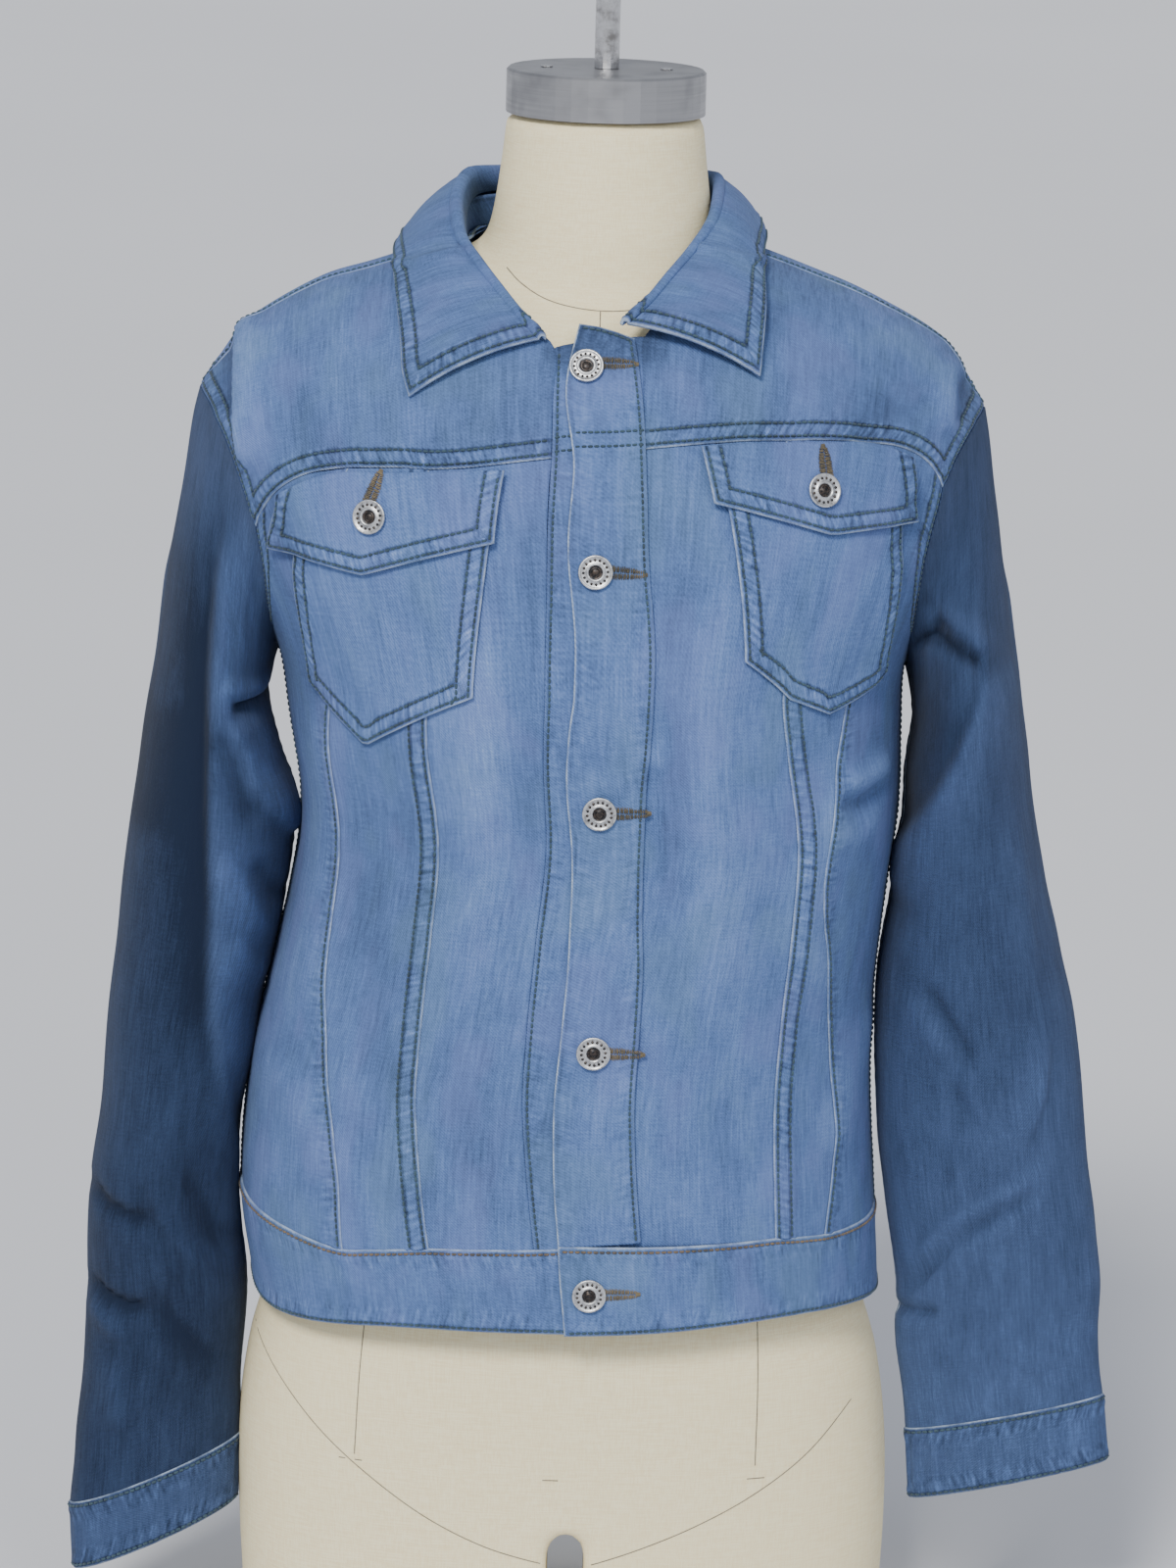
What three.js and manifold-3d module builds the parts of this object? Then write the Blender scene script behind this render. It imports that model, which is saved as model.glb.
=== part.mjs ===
// A short denim jacket buttoned on a headless, armless and legless dress form.
// Millimetres. X runs to the wearer's left, -Y is the front and +Z is up.
import * as THREE from 'three';
import { mergeVertices } from 'three/addons/utils/BufferGeometryUtils.js';
import Module from 'manifold-3d';

// Cloth
const CLOTH = 1.6;            // one layer of denim
const DOUBLE = 2.4;           // a turned or folded piece
const SEAM = 0.3;             // air between two pieces at a seam
const LAID = 1.4;             // air under a patch, which spans the facets below it
const BRIDGE = 0.9;           // air under the lapping front strip

// Heights of the body
const UNDERARM = 500;
const RIDGE_STEP = 220;       // length of the height scale from underarm to shoulder ridge
const RIDGE = UNDERARM + RIDGE_STEP;
const AXIS_Y = 5;
const PLAN_POWER = 2.4;       // squareness of the body's plan
const CHEST_POWER = 2.3;      // roundness of chest to shoulder
const BLADE_POWER = 3.4;      // roundness of back to shoulder
const BASE_Z = -20;

// Outline of the buttoned jacket: x of each side, depth in front and behind.
const GIRTHS = [
  { z: 150, right: -162, left: 151, front: 117, back: 112 },
  { z: 168, right: -164, left: 153, front: 118, back: 114 },
  { z: 216, right: -171, left: 151, front: 119, back: 115 },
  { z: 286, right: -167, left: 146, front: 121, back: 112 },
  { z: 330, right: -158, left: 147, front: 123, back: 108 },
  { z: 376, right: -149, left: 151, front: 125, back: 104 },
  { z: 423, right: -144, left: 156, front: 128, back: 101 },
  { z: 470, right: -152, left: 156, front: 131, back: 100 },
  { z: 500, right: -158, left: 158, front: 132, back: 100 },
  { z: 550, right: -176, left: 173, front: 132, back: 101 },
  { z: 600, right: -196, left: 188, front: 131, back: 101 },
  { z: 650, right: -205, left: 196, front: 130, back: 100 },
  { z: 730, right: -207, left: 199, front: 130, back: 100 },
];
// Shoulder ridge against distance from the centre line.
const SHOULDER = [
  { x: -200, z: 627 }, { x: -182, z: 655 }, { x: -174, z: 663 }, { x: -140, z: 683 },
  { x: -116, z: 691 }, { x: -68, z: 707 }, { x: 0, z: 720 }, { x: 68, z: 707 },
  { x: 116, z: 690 }, { x: 140, z: 679 }, { x: 172, z: 661 }, { x: 180, z: 651 }, { x: 194, z: 627 },
];

// Seams on the front, x and z of each bend, from below upwards.
const SIDE_RIGHT = { x: -171, z: 221, turn: -Math.PI };
const SIDE_LEFT = { x: 151, z: 214, turn: 0 };
const OUT_RIGHT = [
  { x: -116, z: 208 }, { x: -121, z: 270 }, { x: -127, z: 344 }, { x: -128, z: 474 }, { x: -121, z: 606 },
];
const IN_RIGHT = [{ x: -73, z: 214 }, { x: -77, z: 353 }, { x: -79, z: 483 }, { x: -81, z: 608 }];
const OUT_LEFT = [
  { x: 124, z: 216 }, { x: 127, z: 262 }, { x: 121, z: 350 }, { x: 115, z: 396 }, { x: 121, z: 462 },
  { x: 127, z: 500 }, { x: 130, z: 623 },
];
const IN_LEFT = [{ x: 99, z: 219 }, { x: 100, z: 354 }, { x: 96, z: 480 }, { x: 92, z: 625 }];
const STRIP_RIGHT = [{ x: -21, z: 216 }, { x: -20, z: 420 }, { x: -22, z: 616 }];
const STRIP_INNER = [{ x: 22, z: 219 }, { x: 22, z: 420 }, { x: 22, z: 621 }];
const YOKE_RIGHT = [
  { x: -167, z: 570 }, { x: -161, z: 585 }, { x: -147, z: 598 }, { x: -125, z: 606 },
  { x: -95, z: 608 }, { x: -61, z: 610 }, { x: -22, z: 616 },
];
const YOKE_LEFT = [
  { x: 171, z: 597 }, { x: 161, z: 613 }, { x: 150, z: 619 }, { x: 136, z: 623 },
  { x: 107, z: 625 }, { x: 68, z: 625 }, { x: 22, z: 621 },
];
const HOLE_RIGHT = [{ x: -158, z: 500 }, { x: -160, z: 524 }, { x: -163, z: 547 }, { x: -167, z: 570 }];
const HOLE_LEFT = [{ x: 158, z: 500 }, { x: 159, z: 530 }, { x: 164, z: 566 }, { x: 171, z: 597 }];
const TIP_RIGHT = [
  { x: -167, z: 570 }, { x: -175, z: 590 }, { x: -180, z: 604 }, { x: -186, z: 614 }, { x: -199, z: 628 },
];
const TIP_LEFT = [{ x: 171, z: 597 }, { x: 176, z: 607 }, { x: 181, z: 615 }, { x: 193, z: 628 }];
// Lower edge of each front panel, side seam to front strip.
const WAIST_RIGHT = [
  { x: -171, z: 221 }, { x: -149, z: 213 }, { x: -116, z: 208 }, { x: -73, z: 214 }, { x: -21, z: 216 },
];
const WAIST_LEFT = [
  { x: 151, z: 214 }, { x: 142, z: 215 }, { x: 124, z: 216 }, { x: 99, z: 219 }, { x: 22, z: 219 },
];
// Neckline from the lapping front edge to the ridge on each side.
const NECK_RIGHT = [{ x: -22, z: 667 }, { x: -40, z: 679 }, { x: -57, z: 694 }, { x: -67, z: 705 }];
const NECK_LEFT = [{ x: 22, z: 673 }, { x: 38, z: 684 }, { x: 56, z: 697 }, { x: 67, z: 705 }];

// Back seams, mirrored.
const BACK_YOKE_Z = 588;
const BACK_HOLE_X = [{ z: 500, x: 158 }, { z: 545, x: 157 }, { z: 588, x: 164 }, { z: 610, x: 172 }, { z: 628, x: 194 }];
const BACK_NECK_Z = 709;

// Grid counts
const SIDE_ROWS = 5;
const HOLE_ROWS = 3;
const YOKE_ROWS = 6;
const PANEL_COLS = 3;
const PANEL_ROWS = SIDE_ROWS + HOLE_ROWS;

// ---------------------------------------------------------------- tables
function slopeAt(rows, key, field, i) {
  const a = rows[Math.max(i - 1, 0)];
  const b = rows[Math.min(i + 1, rows.length - 1)];
  return (b[field] - a[field]) / (b[key] - a[key]);
}

// Smooth value of one column of a table whose key column rises.
function read(rows, key, field, at) {
  const last = rows.length - 1;
  const x = THREE.MathUtils.clamp(at, rows[0][key], rows[last][key]);
  let i = 0;
  while (i < last - 1 && x > rows[i + 1][key]) i += 1;
  const h = rows[i + 1][key] - rows[i][key];
  const t = (x - rows[i][key]) / h;
  const m0 = slopeAt(rows, key, field, i) * h;
  const m1 = slopeAt(rows, key, field, i + 1) * h;
  const p0 = rows[i][field];
  const p1 = rows[i + 1][field];
  return p0 + t * (m0 + t * (3 * (p1 - p0) - 2 * m0 - m1 + t * (2 * (p0 - p1) + m0 + m1)));
}

const lerp = THREE.MathUtils.lerp;
const signedPower = (value, power) => Math.sign(value) * Math.abs(value) ** power;

// ---------------------------------------------------------------- body surface
const bodyMid = (z) => (read(GIRTHS, 'z', 'left', z) + read(GIRTHS, 'z', 'right', z)) / 2;
const bodyHalf = (z) => (read(GIRTHS, 'z', 'left', z) - read(GIRTHS, 'z', 'right', z)) / 2;
const ridgeZ = (x) => read(SHOULDER, 'x', 'z', x);

// Point of the cloth's inner face: a is the angle round the body, v the height scale.
function innerPoint(angle, height) {
  const over = height > RIDGE;
  const a = over ? -angle : angle;
  const v = over ? 2 * RIDGE - height : height;
  const rear = Math.sin(a) > 0;
  const power = rear ? BLADE_POWER : CHEST_POWER;
  const across = signedPower(Math.cos(a), 2 / PLAN_POWER);
  const deep = signedPower(Math.sin(a), 2 / PLAN_POWER);
  let z = v;
  let x = bodyMid(z) + bodyHalf(z) * across;
  let round = 1;
  if (v > UNDERARM) {
    const tau = ((v - UNDERARM) / RIDGE_STEP) * (Math.PI / 2);
    const rise = Math.abs(Math.sin(tau)) ** (2 / power);
    round = Math.abs(Math.cos(tau)) ** (2 / power);
    for (let i = 0; i < 12; i += 1) {
      z = UNDERARM + (ridgeZ(x) - UNDERARM) * rise;
      x = bodyMid(z) + bodyHalf(z) * across;
    }
  }
  const depth = rear ? read(GIRTHS, 'z', 'back', z) - AXIS_Y : read(GIRTHS, 'z', 'front', z) + AXIS_Y;
  return new THREE.Vector3(x, AXIS_Y + depth * deep * round, z);
}

const ANGLE_STEP = 0.01;
const HEIGHT_STEP = 1;
function bodyFrame(a, v) {
  const alongA = innerPoint(a + ANGLE_STEP, v).sub(innerPoint(a - ANGLE_STEP, v));
  const alongV = innerPoint(a, v + HEIGHT_STEP).sub(innerPoint(a, v - HEIGHT_STEP));
  const normal = new THREE.Vector3().crossVectors(alongA, alongV).normalize();
  return { normal, perA: alongA.length() / (2 * ANGLE_STEP), perV: alongV.length() / (2 * HEIGHT_STEP) };
}
function bodyPoint(at, out) {
  return innerPoint(at.a, at.v).addScaledVector(bodyFrame(at.a, at.v).normal, out);
}

// Angle and height of a point given by its x and z, on the front (-1) or the back (1).
function place(x, z, side) {
  const c = THREE.MathUtils.clamp((x - bodyMid(z)) / bodyHalf(z), -1, 1);
  const a = Math.acos(signedPower(c, PLAN_POWER / 2)) * side;
  if (z <= UNDERARM) return { a, v: z };
  const power = side > 0 ? BLADE_POWER : CHEST_POWER;
  const t = Math.min((z - UNDERARM) / (ridgeZ(x) - UNDERARM), 1);
  const tau = Math.asin(t ** (power / 2));
  return { a, v: UNDERARM + (tau / (Math.PI / 2)) * RIDGE_STEP };
}

// ---------------------------------------------------------------- edges and walls
const ANGLE_SCALE = 140;      // rough radius, so that angles count as lengths along a seam
const even = (t) => t;
function smoothEdge(places, count, spacing = even) {
  const points = places.map((p) => new THREE.Vector3(p.a * ANGLE_SCALE, p.v, 0));
  const line = new THREE.CatmullRomCurve3(points, false, 'centripetal');
  const points2 = Array.from({ length: count + 1 }, (_, k) => line.getPointAt(spacing(k / count)));
  return points2.map((p) => ({ a: p.x / ANGLE_SCALE, v: p.y }));
}
const seam = (rows, count, side = -1, spacing = even) => (
  smoothEdge(rows.map((r) => place(r.x, r.z, side)), count, spacing));
const joined = (first, second) => [...first, ...second.slice(1)];

// The part of a seam table between two x values, both included.
function between(rows, from, to) {
  const inside = rows.filter((r) => r.x > Math.min(from.x, to.x) + 1 && r.x < Math.max(from.x, to.x) - 1);
  return [from, ...inside, to];
}

function coons(edges, i, j, cols, rows) {
  const { bottom, top, start, end } = edges;
  const u = i / cols;
  const w = (edges.spacing ?? even)(j / rows);
  const mix = (k) => (1 - w) * bottom[i][k] + w * top[i][k] + (1 - u) * start[j][k] + u * end[j][k]
    - (1 - u) * (1 - w) * bottom[0][k] - u * (1 - w) * bottom[cols][k]
    - (1 - u) * w * top[0][k] - u * w * top[cols][k];
  return { a: mix('a'), v: mix('v') };
}

// Closed thin wall over a grid of point pairs; inner and outer are [row][column] arrays.
function wallGeometry(inner, outer, loop = false) {
  const rows = inner.length - 1;
  const cols = inner[0].length - 1;
  const positions = [];
  const push = (...points) => points.forEach((p) => positions.push(p.x, p.y, p.z));
  const quad = (a, b, c, d) => push(a, b, c, a, c, d);
  for (let j = 0; j < rows; j += 1) {
    for (let i = 0; i < cols; i += 1) {
      quad(outer[j][i], outer[j][i + 1], outer[j + 1][i + 1], outer[j + 1][i]);
      quad(inner[j][i], inner[j + 1][i], inner[j + 1][i + 1], inner[j][i + 1]);
    }
  }
  for (let i = 0; i < cols; i += 1) {
    quad(inner[0][i], inner[0][i + 1], outer[0][i + 1], outer[0][i]);
    quad(outer[rows][i], outer[rows][i + 1], inner[rows][i + 1], inner[rows][i]);
  }
  if (!loop) {
    for (let j = 0; j < rows; j += 1) {
      quad(inner[j][0], outer[j][0], outer[j + 1][0], inner[j + 1][0]);
      quad(outer[j][cols], inner[j][cols], inner[j + 1][cols], outer[j + 1][cols]);
    }
  }
  return closedGeometry(positions);
}

function signedVolume(positions) {
  const p = positions.map((value, k) => [k, value]);
  let sum = 0;
  for (let k = 0; k < p.length; k += 9) {
    const [ax, ay, az, bx, by, bz, cx, cy, cz] = positions.slice(k, k + 9);
    sum += ax * (by * cz - bz * cy) + ay * (bz * cx - bx * cz) + az * (bx * cy - by * cx);
  }
  return sum;
}
function closedGeometry(positions) {
  if (signedVolume(positions) < 0) {
    for (let k = 0; k < positions.length; k += 9) {
      const swap = positions.slice(k + 3, k + 6);
      positions.splice(k + 3, 3, ...positions.slice(k + 6, k + 9));
      positions.splice(k + 6, 3, ...swap);
    }
  }
  const geometry = new THREE.BufferGeometry();
  geometry.setAttribute('position', new THREE.Float32BufferAttribute(positions, 3));
  return mergeVertices(geometry, 1e-4);
}

// A piece of cloth on the body: four edges, pulled in by half a seam, between two offsets.
function panel(edges, low, high, inset = SEAM / 2) {
  const cols = edges.bottom.length - 1;
  const rows = edges.start.length - 1;
  const inner = [];
  const outer = [];
  for (let j = 0; j <= rows; j += 1) {
    const line = [];
    for (let i = 0; i <= cols; i += 1) line.push(coons(edges, i, j, cols, rows));
    inner.push(line.map((p, i) => bodyPoint(pulled(edges, p, i, j, inset), low)));
    outer.push(line.map((p, i) => bodyPoint(pulled(edges, p, i, j, inset), high)));
  }
  return wallGeometry(inner, outer);
}
function pulled(edges, p, i, j, inset) {
  const cols = edges.bottom.length - 1;
  const rows = edges.start.length - 1;
  const { perA, perV } = bodyFrame(p.a, p.v);
  const way = Math.sign(edges.end[0].a - edges.start[0].a);
  const sideways = (i === 0 ? 1 : 0) - (i === cols ? 1 : 0);
  const upwards = (j === 0 ? 1 : 0) - (j === rows ? 1 : 0);
  return { a: p.a + (way * sideways * inset) / perA, v: p.v + (upwards * inset) / perV };
}

// ---------------------------------------------------------------- assembly
const group = new THREE.Group();
const LOOKS = {
  denim: { color: 0x6d8bb8, roughness: 0.92, metalness: 0 },
  button_metal: { color: 0xb9bcc0, roughness: 0.35, metalness: 1 },
  linen: { color: 0xd9d2bf, roughness: 0.85, metalness: 0 },
  cap_steel: { color: 0x8f9196, roughness: 0.3, metalness: 1 },
  rod_chrome: { color: 0xaeb1b5, roughness: 0.12, metalness: 1 },
};
function add(name, geometry, look) {
  const mesh = new THREE.Mesh(geometry, new THREE.MeshStandardMaterial(LOOKS[look]));
  mesh.name = name;
  group.add(mesh);
  return mesh;
}

// Front panels of one side. rows run from the side seam to the front strip.
function frontEdges(t) {
  const [side, out, inside, strip] = [t.side, t.out[0], t.inside[0], t.strip[0]];
  const top = (rows) => rows[rows.length - 1];
  const waist = (a, b) => seam(between(t.waist, a, b), PANEL_COLS);
  const yoke = (a, b) => seam(between(t.yoke, a, b), PANEL_COLS);
  const sideSeam = Array.from({ length: SIDE_ROWS + 1 }, (_, j) => (
    { a: t.side.turn, v: lerp(t.side.z, UNDERARM, j / SIDE_ROWS) }));
  const sideLine = joined(sideSeam, seam(t.hole, HOLE_ROWS));
  const waists = [waist(side, out), waist(out, inside), waist(inside, strip)];
  waists[0][0] = sideLine[0];
  return {
    sideLine,
    outLine: seam(t.out, PANEL_ROWS),
    inLine: seam(t.inside, PANEL_ROWS),
    stripLine: seam(t.strip, PANEL_ROWS),
    waists,
    yokes: [yoke(top(t.hole), top(t.out)), yoke(top(t.out), top(t.inside)), yoke(top(t.inside), top(t.strip))],
  };
}
const RIGHT = frontEdges({
  side: SIDE_RIGHT, hole: HOLE_RIGHT, out: OUT_RIGHT, inside: IN_RIGHT, strip: STRIP_RIGHT,
  waist: WAIST_RIGHT, yoke: YOKE_RIGHT,
});
const LEFT = frontEdges({
  side: SIDE_LEFT, hole: HOLE_LEFT, out: OUT_LEFT, inside: IN_LEFT, strip: STRIP_INNER,
  waist: WAIST_LEFT, yoke: YOKE_LEFT,
});
function addFront(e, word) {
  const lines = [e.sideLine, e.outLine, e.inLine, e.stripLine];
  ['side', 'mid', 'center'].forEach((part, k) => {
    const edges = { bottom: e.waists[k], top: e.yokes[k], start: lines[k], end: lines[k + 1] };
    add(`front_${part}_${word}`, panel(edges, 0, CLOTH), 'denim');
  });
}
addFront(RIGHT, 'right');
addFront(LEFT, 'left');

// Front yokes run from the yoke seam to the shoulder seam, just in front of the ridge.
const SHOULDER_SEAM_BACK = 7;  // how far the shoulder seam lies below the ridge on the height scale
const STRIP_ROWS = 2;
const shoulderPlace = (x) => ({ a: place(x, ridgeZ(x), -1).a, v: RIDGE - SHOULDER_SEAM_BACK });
function shoulderEdge(tipX, neckX, count) {
  const xs = [0, 0.12, 0.3, 0.6, 1].map((f) => lerp(tipX, neckX, f));
  return smoothEdge(xs.map(shoulderPlace), count);
}
function yokeEdges(e, tip, neck, strip, sign) {
  const tipX = tip[tip.length - 1].x;
  const shoulder = shoulderEdge(tipX, 68 * sign, 3 * PANEL_COLS);
  const tipLine = seam(tip, YOKE_ROWS);
  tipLine[YOKE_ROWS] = shoulder[0];
  const neckLine = seam(neck, YOKE_ROWS - STRIP_ROWS);
  neckLine[YOKE_ROWS - STRIP_ROWS] = shoulder[3 * PANEL_COLS];
  const bottom = joined(joined(e.yokes[0], e.yokes[1]), e.yokes[2]);
  const stripTop = seam([strip, neck[0]], STRIP_ROWS);
  return { bottom, top: shoulder, start: tipLine, end: joined(stripTop, neckLine) };
}
const YOKE_R = yokeEdges(RIGHT, TIP_RIGHT, NECK_RIGHT, STRIP_RIGHT[2], -1);
const YOKE_L = yokeEdges(LEFT, TIP_LEFT, NECK_LEFT, STRIP_INNER[2], 1);
add('front_yoke_right', panel(YOKE_R, 0, CLOTH), 'denim');
add('front_yoke_left', panel(YOKE_L, 0, CLOTH), 'denim');

// Back yoke and back: the yoke's upper edge follows shoulder seam, neck and shoulder seam.
const NECK_COLS = 6;
const flip = (edge) => edge.map((p) => ({ a: -p.a, v: 2 * RIDGE - p.v }));
const backHole = (sign, from, to, count, spacing = even) => seam(
  BACK_HOLE_X.filter((r) => r.z >= from && r.z <= to).map((r) => ({ x: sign * r.x, z: r.z })), count, 1, spacing,
);
const closerAbove = (t) => 1 - (1 - t) ** 1.9;   // rows crowd where the yoke turns over the shoulder
function backNeck() {
  const ends = [flip([YOKE_R.top[9]])[0], flip([YOKE_L.top[9]])[0]];
  const middle = [-56, -30, 0, 30, 56].map((x) => place(x, lerp(BACK_NECK_Z, 706, (x / 60) ** 2), 1));
  return smoothEdge([ends[0], ...middle, ends[1]], NECK_COLS);
}
const backTop = joined(joined(flip(YOKE_R.top), backNeck()), flip(YOKE_L.top).reverse());
const backHoleR = backHole(-1, BACK_YOKE_Z, 628, YOKE_ROWS, closerAbove);
const backHoleL = backHole(1, BACK_YOKE_Z, 628, YOKE_ROWS, closerAbove);
backHoleR[YOKE_ROWS] = backTop[0];
backHoleL[YOKE_ROWS] = backTop[backTop.length - 1];
const backYokeBottom = backTop.map((p, i) => {
  const x = lerp(-164, 164, i / (backTop.length - 1));
  return place(x, BACK_YOKE_Z, 1);
});
add('back_yoke', panel(
  { bottom: backYokeBottom, top: backTop, start: backHoleR, end: backHoleL, spacing: closerAbove }, 0, CLOTH,
), 'denim');

const BACK_COLS = backTop.length - 1;
const around = (p) => ({ a: p.a + 2 * Math.PI, v: p.v });
const sideRightBack = RIGHT.sideLine.slice(0, SIDE_ROWS + 1).map((p) => ({ a: Math.PI, v: p.v }));
const sideLeftBack = LEFT.sideLine.slice(0, SIDE_ROWS + 1).map((p) => ({ a: 0, v: p.v }));
const backStart = joined(sideRightBack, backHole(-1, UNDERARM, BACK_YOKE_Z, HOLE_ROWS));
const backEnd = joined(sideLeftBack, backHole(1, UNDERARM, BACK_YOKE_Z, HOLE_ROWS));
const backWaist = backTop.map((p, i) => {
  const f = i / BACK_COLS;
  return { a: lerp(Math.PI, 0, f), v: lerp(backStart[0].v, backEnd[0].v, f) };
});
add('back', panel({ bottom: backWaist, top: backYokeBottom, start: backStart, end: backEnd }, 0, CLOTH), 'denim');

// Front strips: the one under the buttons, and the lapping one that carries the buttonholes.
const STRIP_BANDS = 14;
const STRIP_COLS = 2;
const OVER = CLOTH + BRIDGE;
const LAP_LEFT = [
  { x: -9, z: 219 }, { x: -9, z: 345 }, { x: -10, z: 449 }, { x: -8, z: 538 }, { x: -13, z: 572 },
  { x: -11, z: 620 }, { x: -16, z: 650 }, { x: -10, z: 677 },
];
const LAP_RIGHT = [
  { x: 32, z: 222 }, { x: 29, z: 347 }, { x: 28, z: 422 }, { x: 31, z: 505 }, { x: 26, z: 575 },
  { x: 24, z: 627 }, { x: 20, z: 652 }, { x: 17, z: 671 },
];
function stripPanel(first, last, low, high) {
  const cross = (p, q) => Array.from({ length: STRIP_COLS + 1 }, (_, i) => (
    { a: lerp(p.a, q.a, i / STRIP_COLS), v: lerp(p.v, q.v, i / STRIP_COLS) }));
  const bottom = cross(first[0], last[0]);
  const top = cross(first[first.length - 1], last[last.length - 1]);
  return panel({ bottom, top, start: first, end: last }, low, high);
}
const underRight = joined(RIGHT.stripLine, YOKE_R.end.slice(0, STRIP_ROWS + 1));
const underLeft = joined(LEFT.stripLine, YOKE_L.end.slice(0, STRIP_ROWS + 1));
add('placket_under', stripPanel(underRight, underLeft, 0, CLOTH), 'denim');
add('placket_top', stripPanel(seam(LAP_LEFT, STRIP_BANDS), seam(LAP_RIGHT, STRIP_BANDS), OVER, OVER + CLOTH), 'denim');

// ---------------------------------------------------------------- hem band
const BAND_FOLD = 0.5;        // air under the lapping end of the band
// Lower edge of the band against the angle turned, front centre round the right side, back and left side.
const BAND_LOW = [
  { turn: 0, z: 173 }, { turn: 0.45, z: 172 }, { turn: 0.9, z: 166 }, { turn: 1.25, z: 165 },
  { turn: 1.57, z: 172 }, { turn: 3.14, z: 172 }, { turn: 4.71, z: 170 }, { turn: 5.2, z: 176 },
  { turn: 5.6, z: 178 }, { turn: 6.28, z: 173 }, { turn: 6.6, z: 173 },
];
const BAND_RISE = [
  { turn: 0, out: 0 }, { turn: 5.45, out: 0 }, { turn: 5.75, out: 0.3 }, { turn: 6.08, out: 1 }, { turn: 6.7, out: 1 },
];
function bandTop() {
  const under = [22, 0.5, -21].map((x) => place(x, lerp(219, 216, (22 - x) / 43), -1));
  const right = [...RIGHT.waists].reverse().flatMap((w, k) => [...w].reverse().slice(k ? 1 : 0));
  const back = backWaist.map((p) => ({ a: p.a - 2 * Math.PI, v: p.v }));
  const left = LEFT.waists.flatMap((w, k) => w.slice(k ? 1 : 0)).map((p) => ({ a: p.a - 2 * Math.PI, v: p.v }));
  const lap = [6, -9].map((x) => place(x, 219, -1)).map((p) => ({ a: p.a - 2 * Math.PI, v: p.v }));
  return [...joined(joined(joined(under, right), back), left), ...lap];
}
function hemBand() {
  const tops = bandTop();
  const pair = (share, level) => tops.map((p) => {
    const turn = -p.a - Math.PI / 2;
    const low = read(BAND_LOW, 'turn', 'z', turn);
    const rise = read(BAND_RISE, 'turn', 'out', turn) * (DOUBLE + BAND_FOLD);
    return bodyPoint({ a: p.a, v: lerp(low, p.v - SEAM, share) }, rise + level);
  });
  return wallGeometry([pair(0, 0), pair(0.5, 0), pair(1, 0)], [pair(0, DOUBLE), pair(0.5, DOUBLE), pair(1, DOUBLE)]);
}
add('hem_band', hemBand(), 'denim');

// ---------------------------------------------------------------- chest pockets and flaps
function patch(outline, side, low) {
  const { bottom, top, start, end, cols, rows } = outline;
  const edges = {
    bottom: seam(bottom, cols, side), top: seam(top, cols, side),
    start: seam(start, rows, side), end: seam(end, rows, side),
  };
  return panel(edges, low, low + CLOTH, 0);
}
const corner = (rows) => [rows[0], rows[rows.length - 1]];
// A bottom edge with a point: straight runs either side of it, half the columns each.
function pointedEdge(rows, cols) {
  const [a, tip, b] = rows.map((r) => place(r.x, r.z, -1));
  const run = (p, q) => Array.from({ length: cols / 2 + 1 }, (_, i) => (
    { a: lerp(p.a, q.a, (2 * i) / cols), v: lerp(p.v, q.v, (2 * i) / cols) }));
  return joined(run(a, tip), run(tip, b));
}
function pointed(rows, cols, count, low, thick) {
  const edges = {
    bottom: pointedEdge(rows.bottom, cols),
    top: seam(rows.top, cols),
    start: seam([rows.bottom[0], rows.top[0]], count),
    end: seam([rows.bottom[2], rows.top[rows.top.length - 1]], count),
  };
  return panel(edges, low, low + thick, 0);
}
const POCKET_LOW = CLOTH + LAID;
const FLAP_LOW = POCKET_LOW + CLOTH + 0.9;
const POCKETS = {
  right: {
    bottom: [{ x: -138, z: 496 }, { x: -108, z: 469 }, { x: -56, z: 500 }],
    top: [{ x: -149, z: 585 }, { x: -100, z: 592 }, { x: -48, z: 592 }],
  },
  left: {
    bottom: [{ x: 74, z: 520 }, { x: 116, z: 490 }, { x: 144, z: 505 }],
    top: [{ x: 62, z: 604 }, { x: 105, z: 604 }, { x: 150, z: 598 }],
  },
};
const FLAPS = {
  right: {
    bottom: [{ x: -157, z: 563 }, { x: -110, z: 556 }, { x: -48, z: 575 }],
    top: [{ x: -154, z: 589 }, { x: -125, z: 603 }, { x: -95, z: 605 }, { x: -44, z: 609 }],
  },
  left: {
    bottom: [{ x: 57, z: 596 }, { x: 114, z: 580 }, { x: 156, z: 583 }],
    top: [{ x: 50, z: 622 }, { x: 107, z: 623 }, { x: 136, z: 621 }, { x: 153, z: 613 }],
  },
};
for (const word of ['right', 'left']) {
  add(`pocket_${word}`, pointed(POCKETS[word], 8, 5, POCKET_LOW, CLOTH), 'denim');
  add(`pocket_flap_${word}`, pointed(FLAPS[word], 8, 2, FLAP_LOW, DOUBLE), 'denim');
}

// ---------------------------------------------------------------- tubes and folded sheets
// Wall of even thickness about a grid of middle points; a loop closes on its first column.
// With spare set, the first and last column only steady the normals of their neighbours.
function sheet(mid, thick, loop = false, spare = 0) {
  const rows = mid.length - 1;
  const cols = mid[0].length - 1;
  const at = (j, i) => {
    if (loop) return mid[THREE.MathUtils.clamp(j, 0, rows)][(i + cols) % cols];
    return mid[THREE.MathUtils.clamp(j, 0, rows)][THREE.MathUtils.clamp(i, 0, cols)];
  };
  const side = (sign) => mid.map((line, j) => line.map((p, i) => {
    const across = at(j, i + 1).clone().sub(at(j, i - 1));
    const down = at(j + 1, i).clone().sub(at(j - 1, i));
    const normal = new THREE.Vector3().crossVectors(across, down).normalize();
    return p.clone().addScaledVector(normal, (sign * thick) / 2);
  }).slice(spare, line.length - spare));
  return wallGeometry(side(-1), side(1), loop);
}

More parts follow.
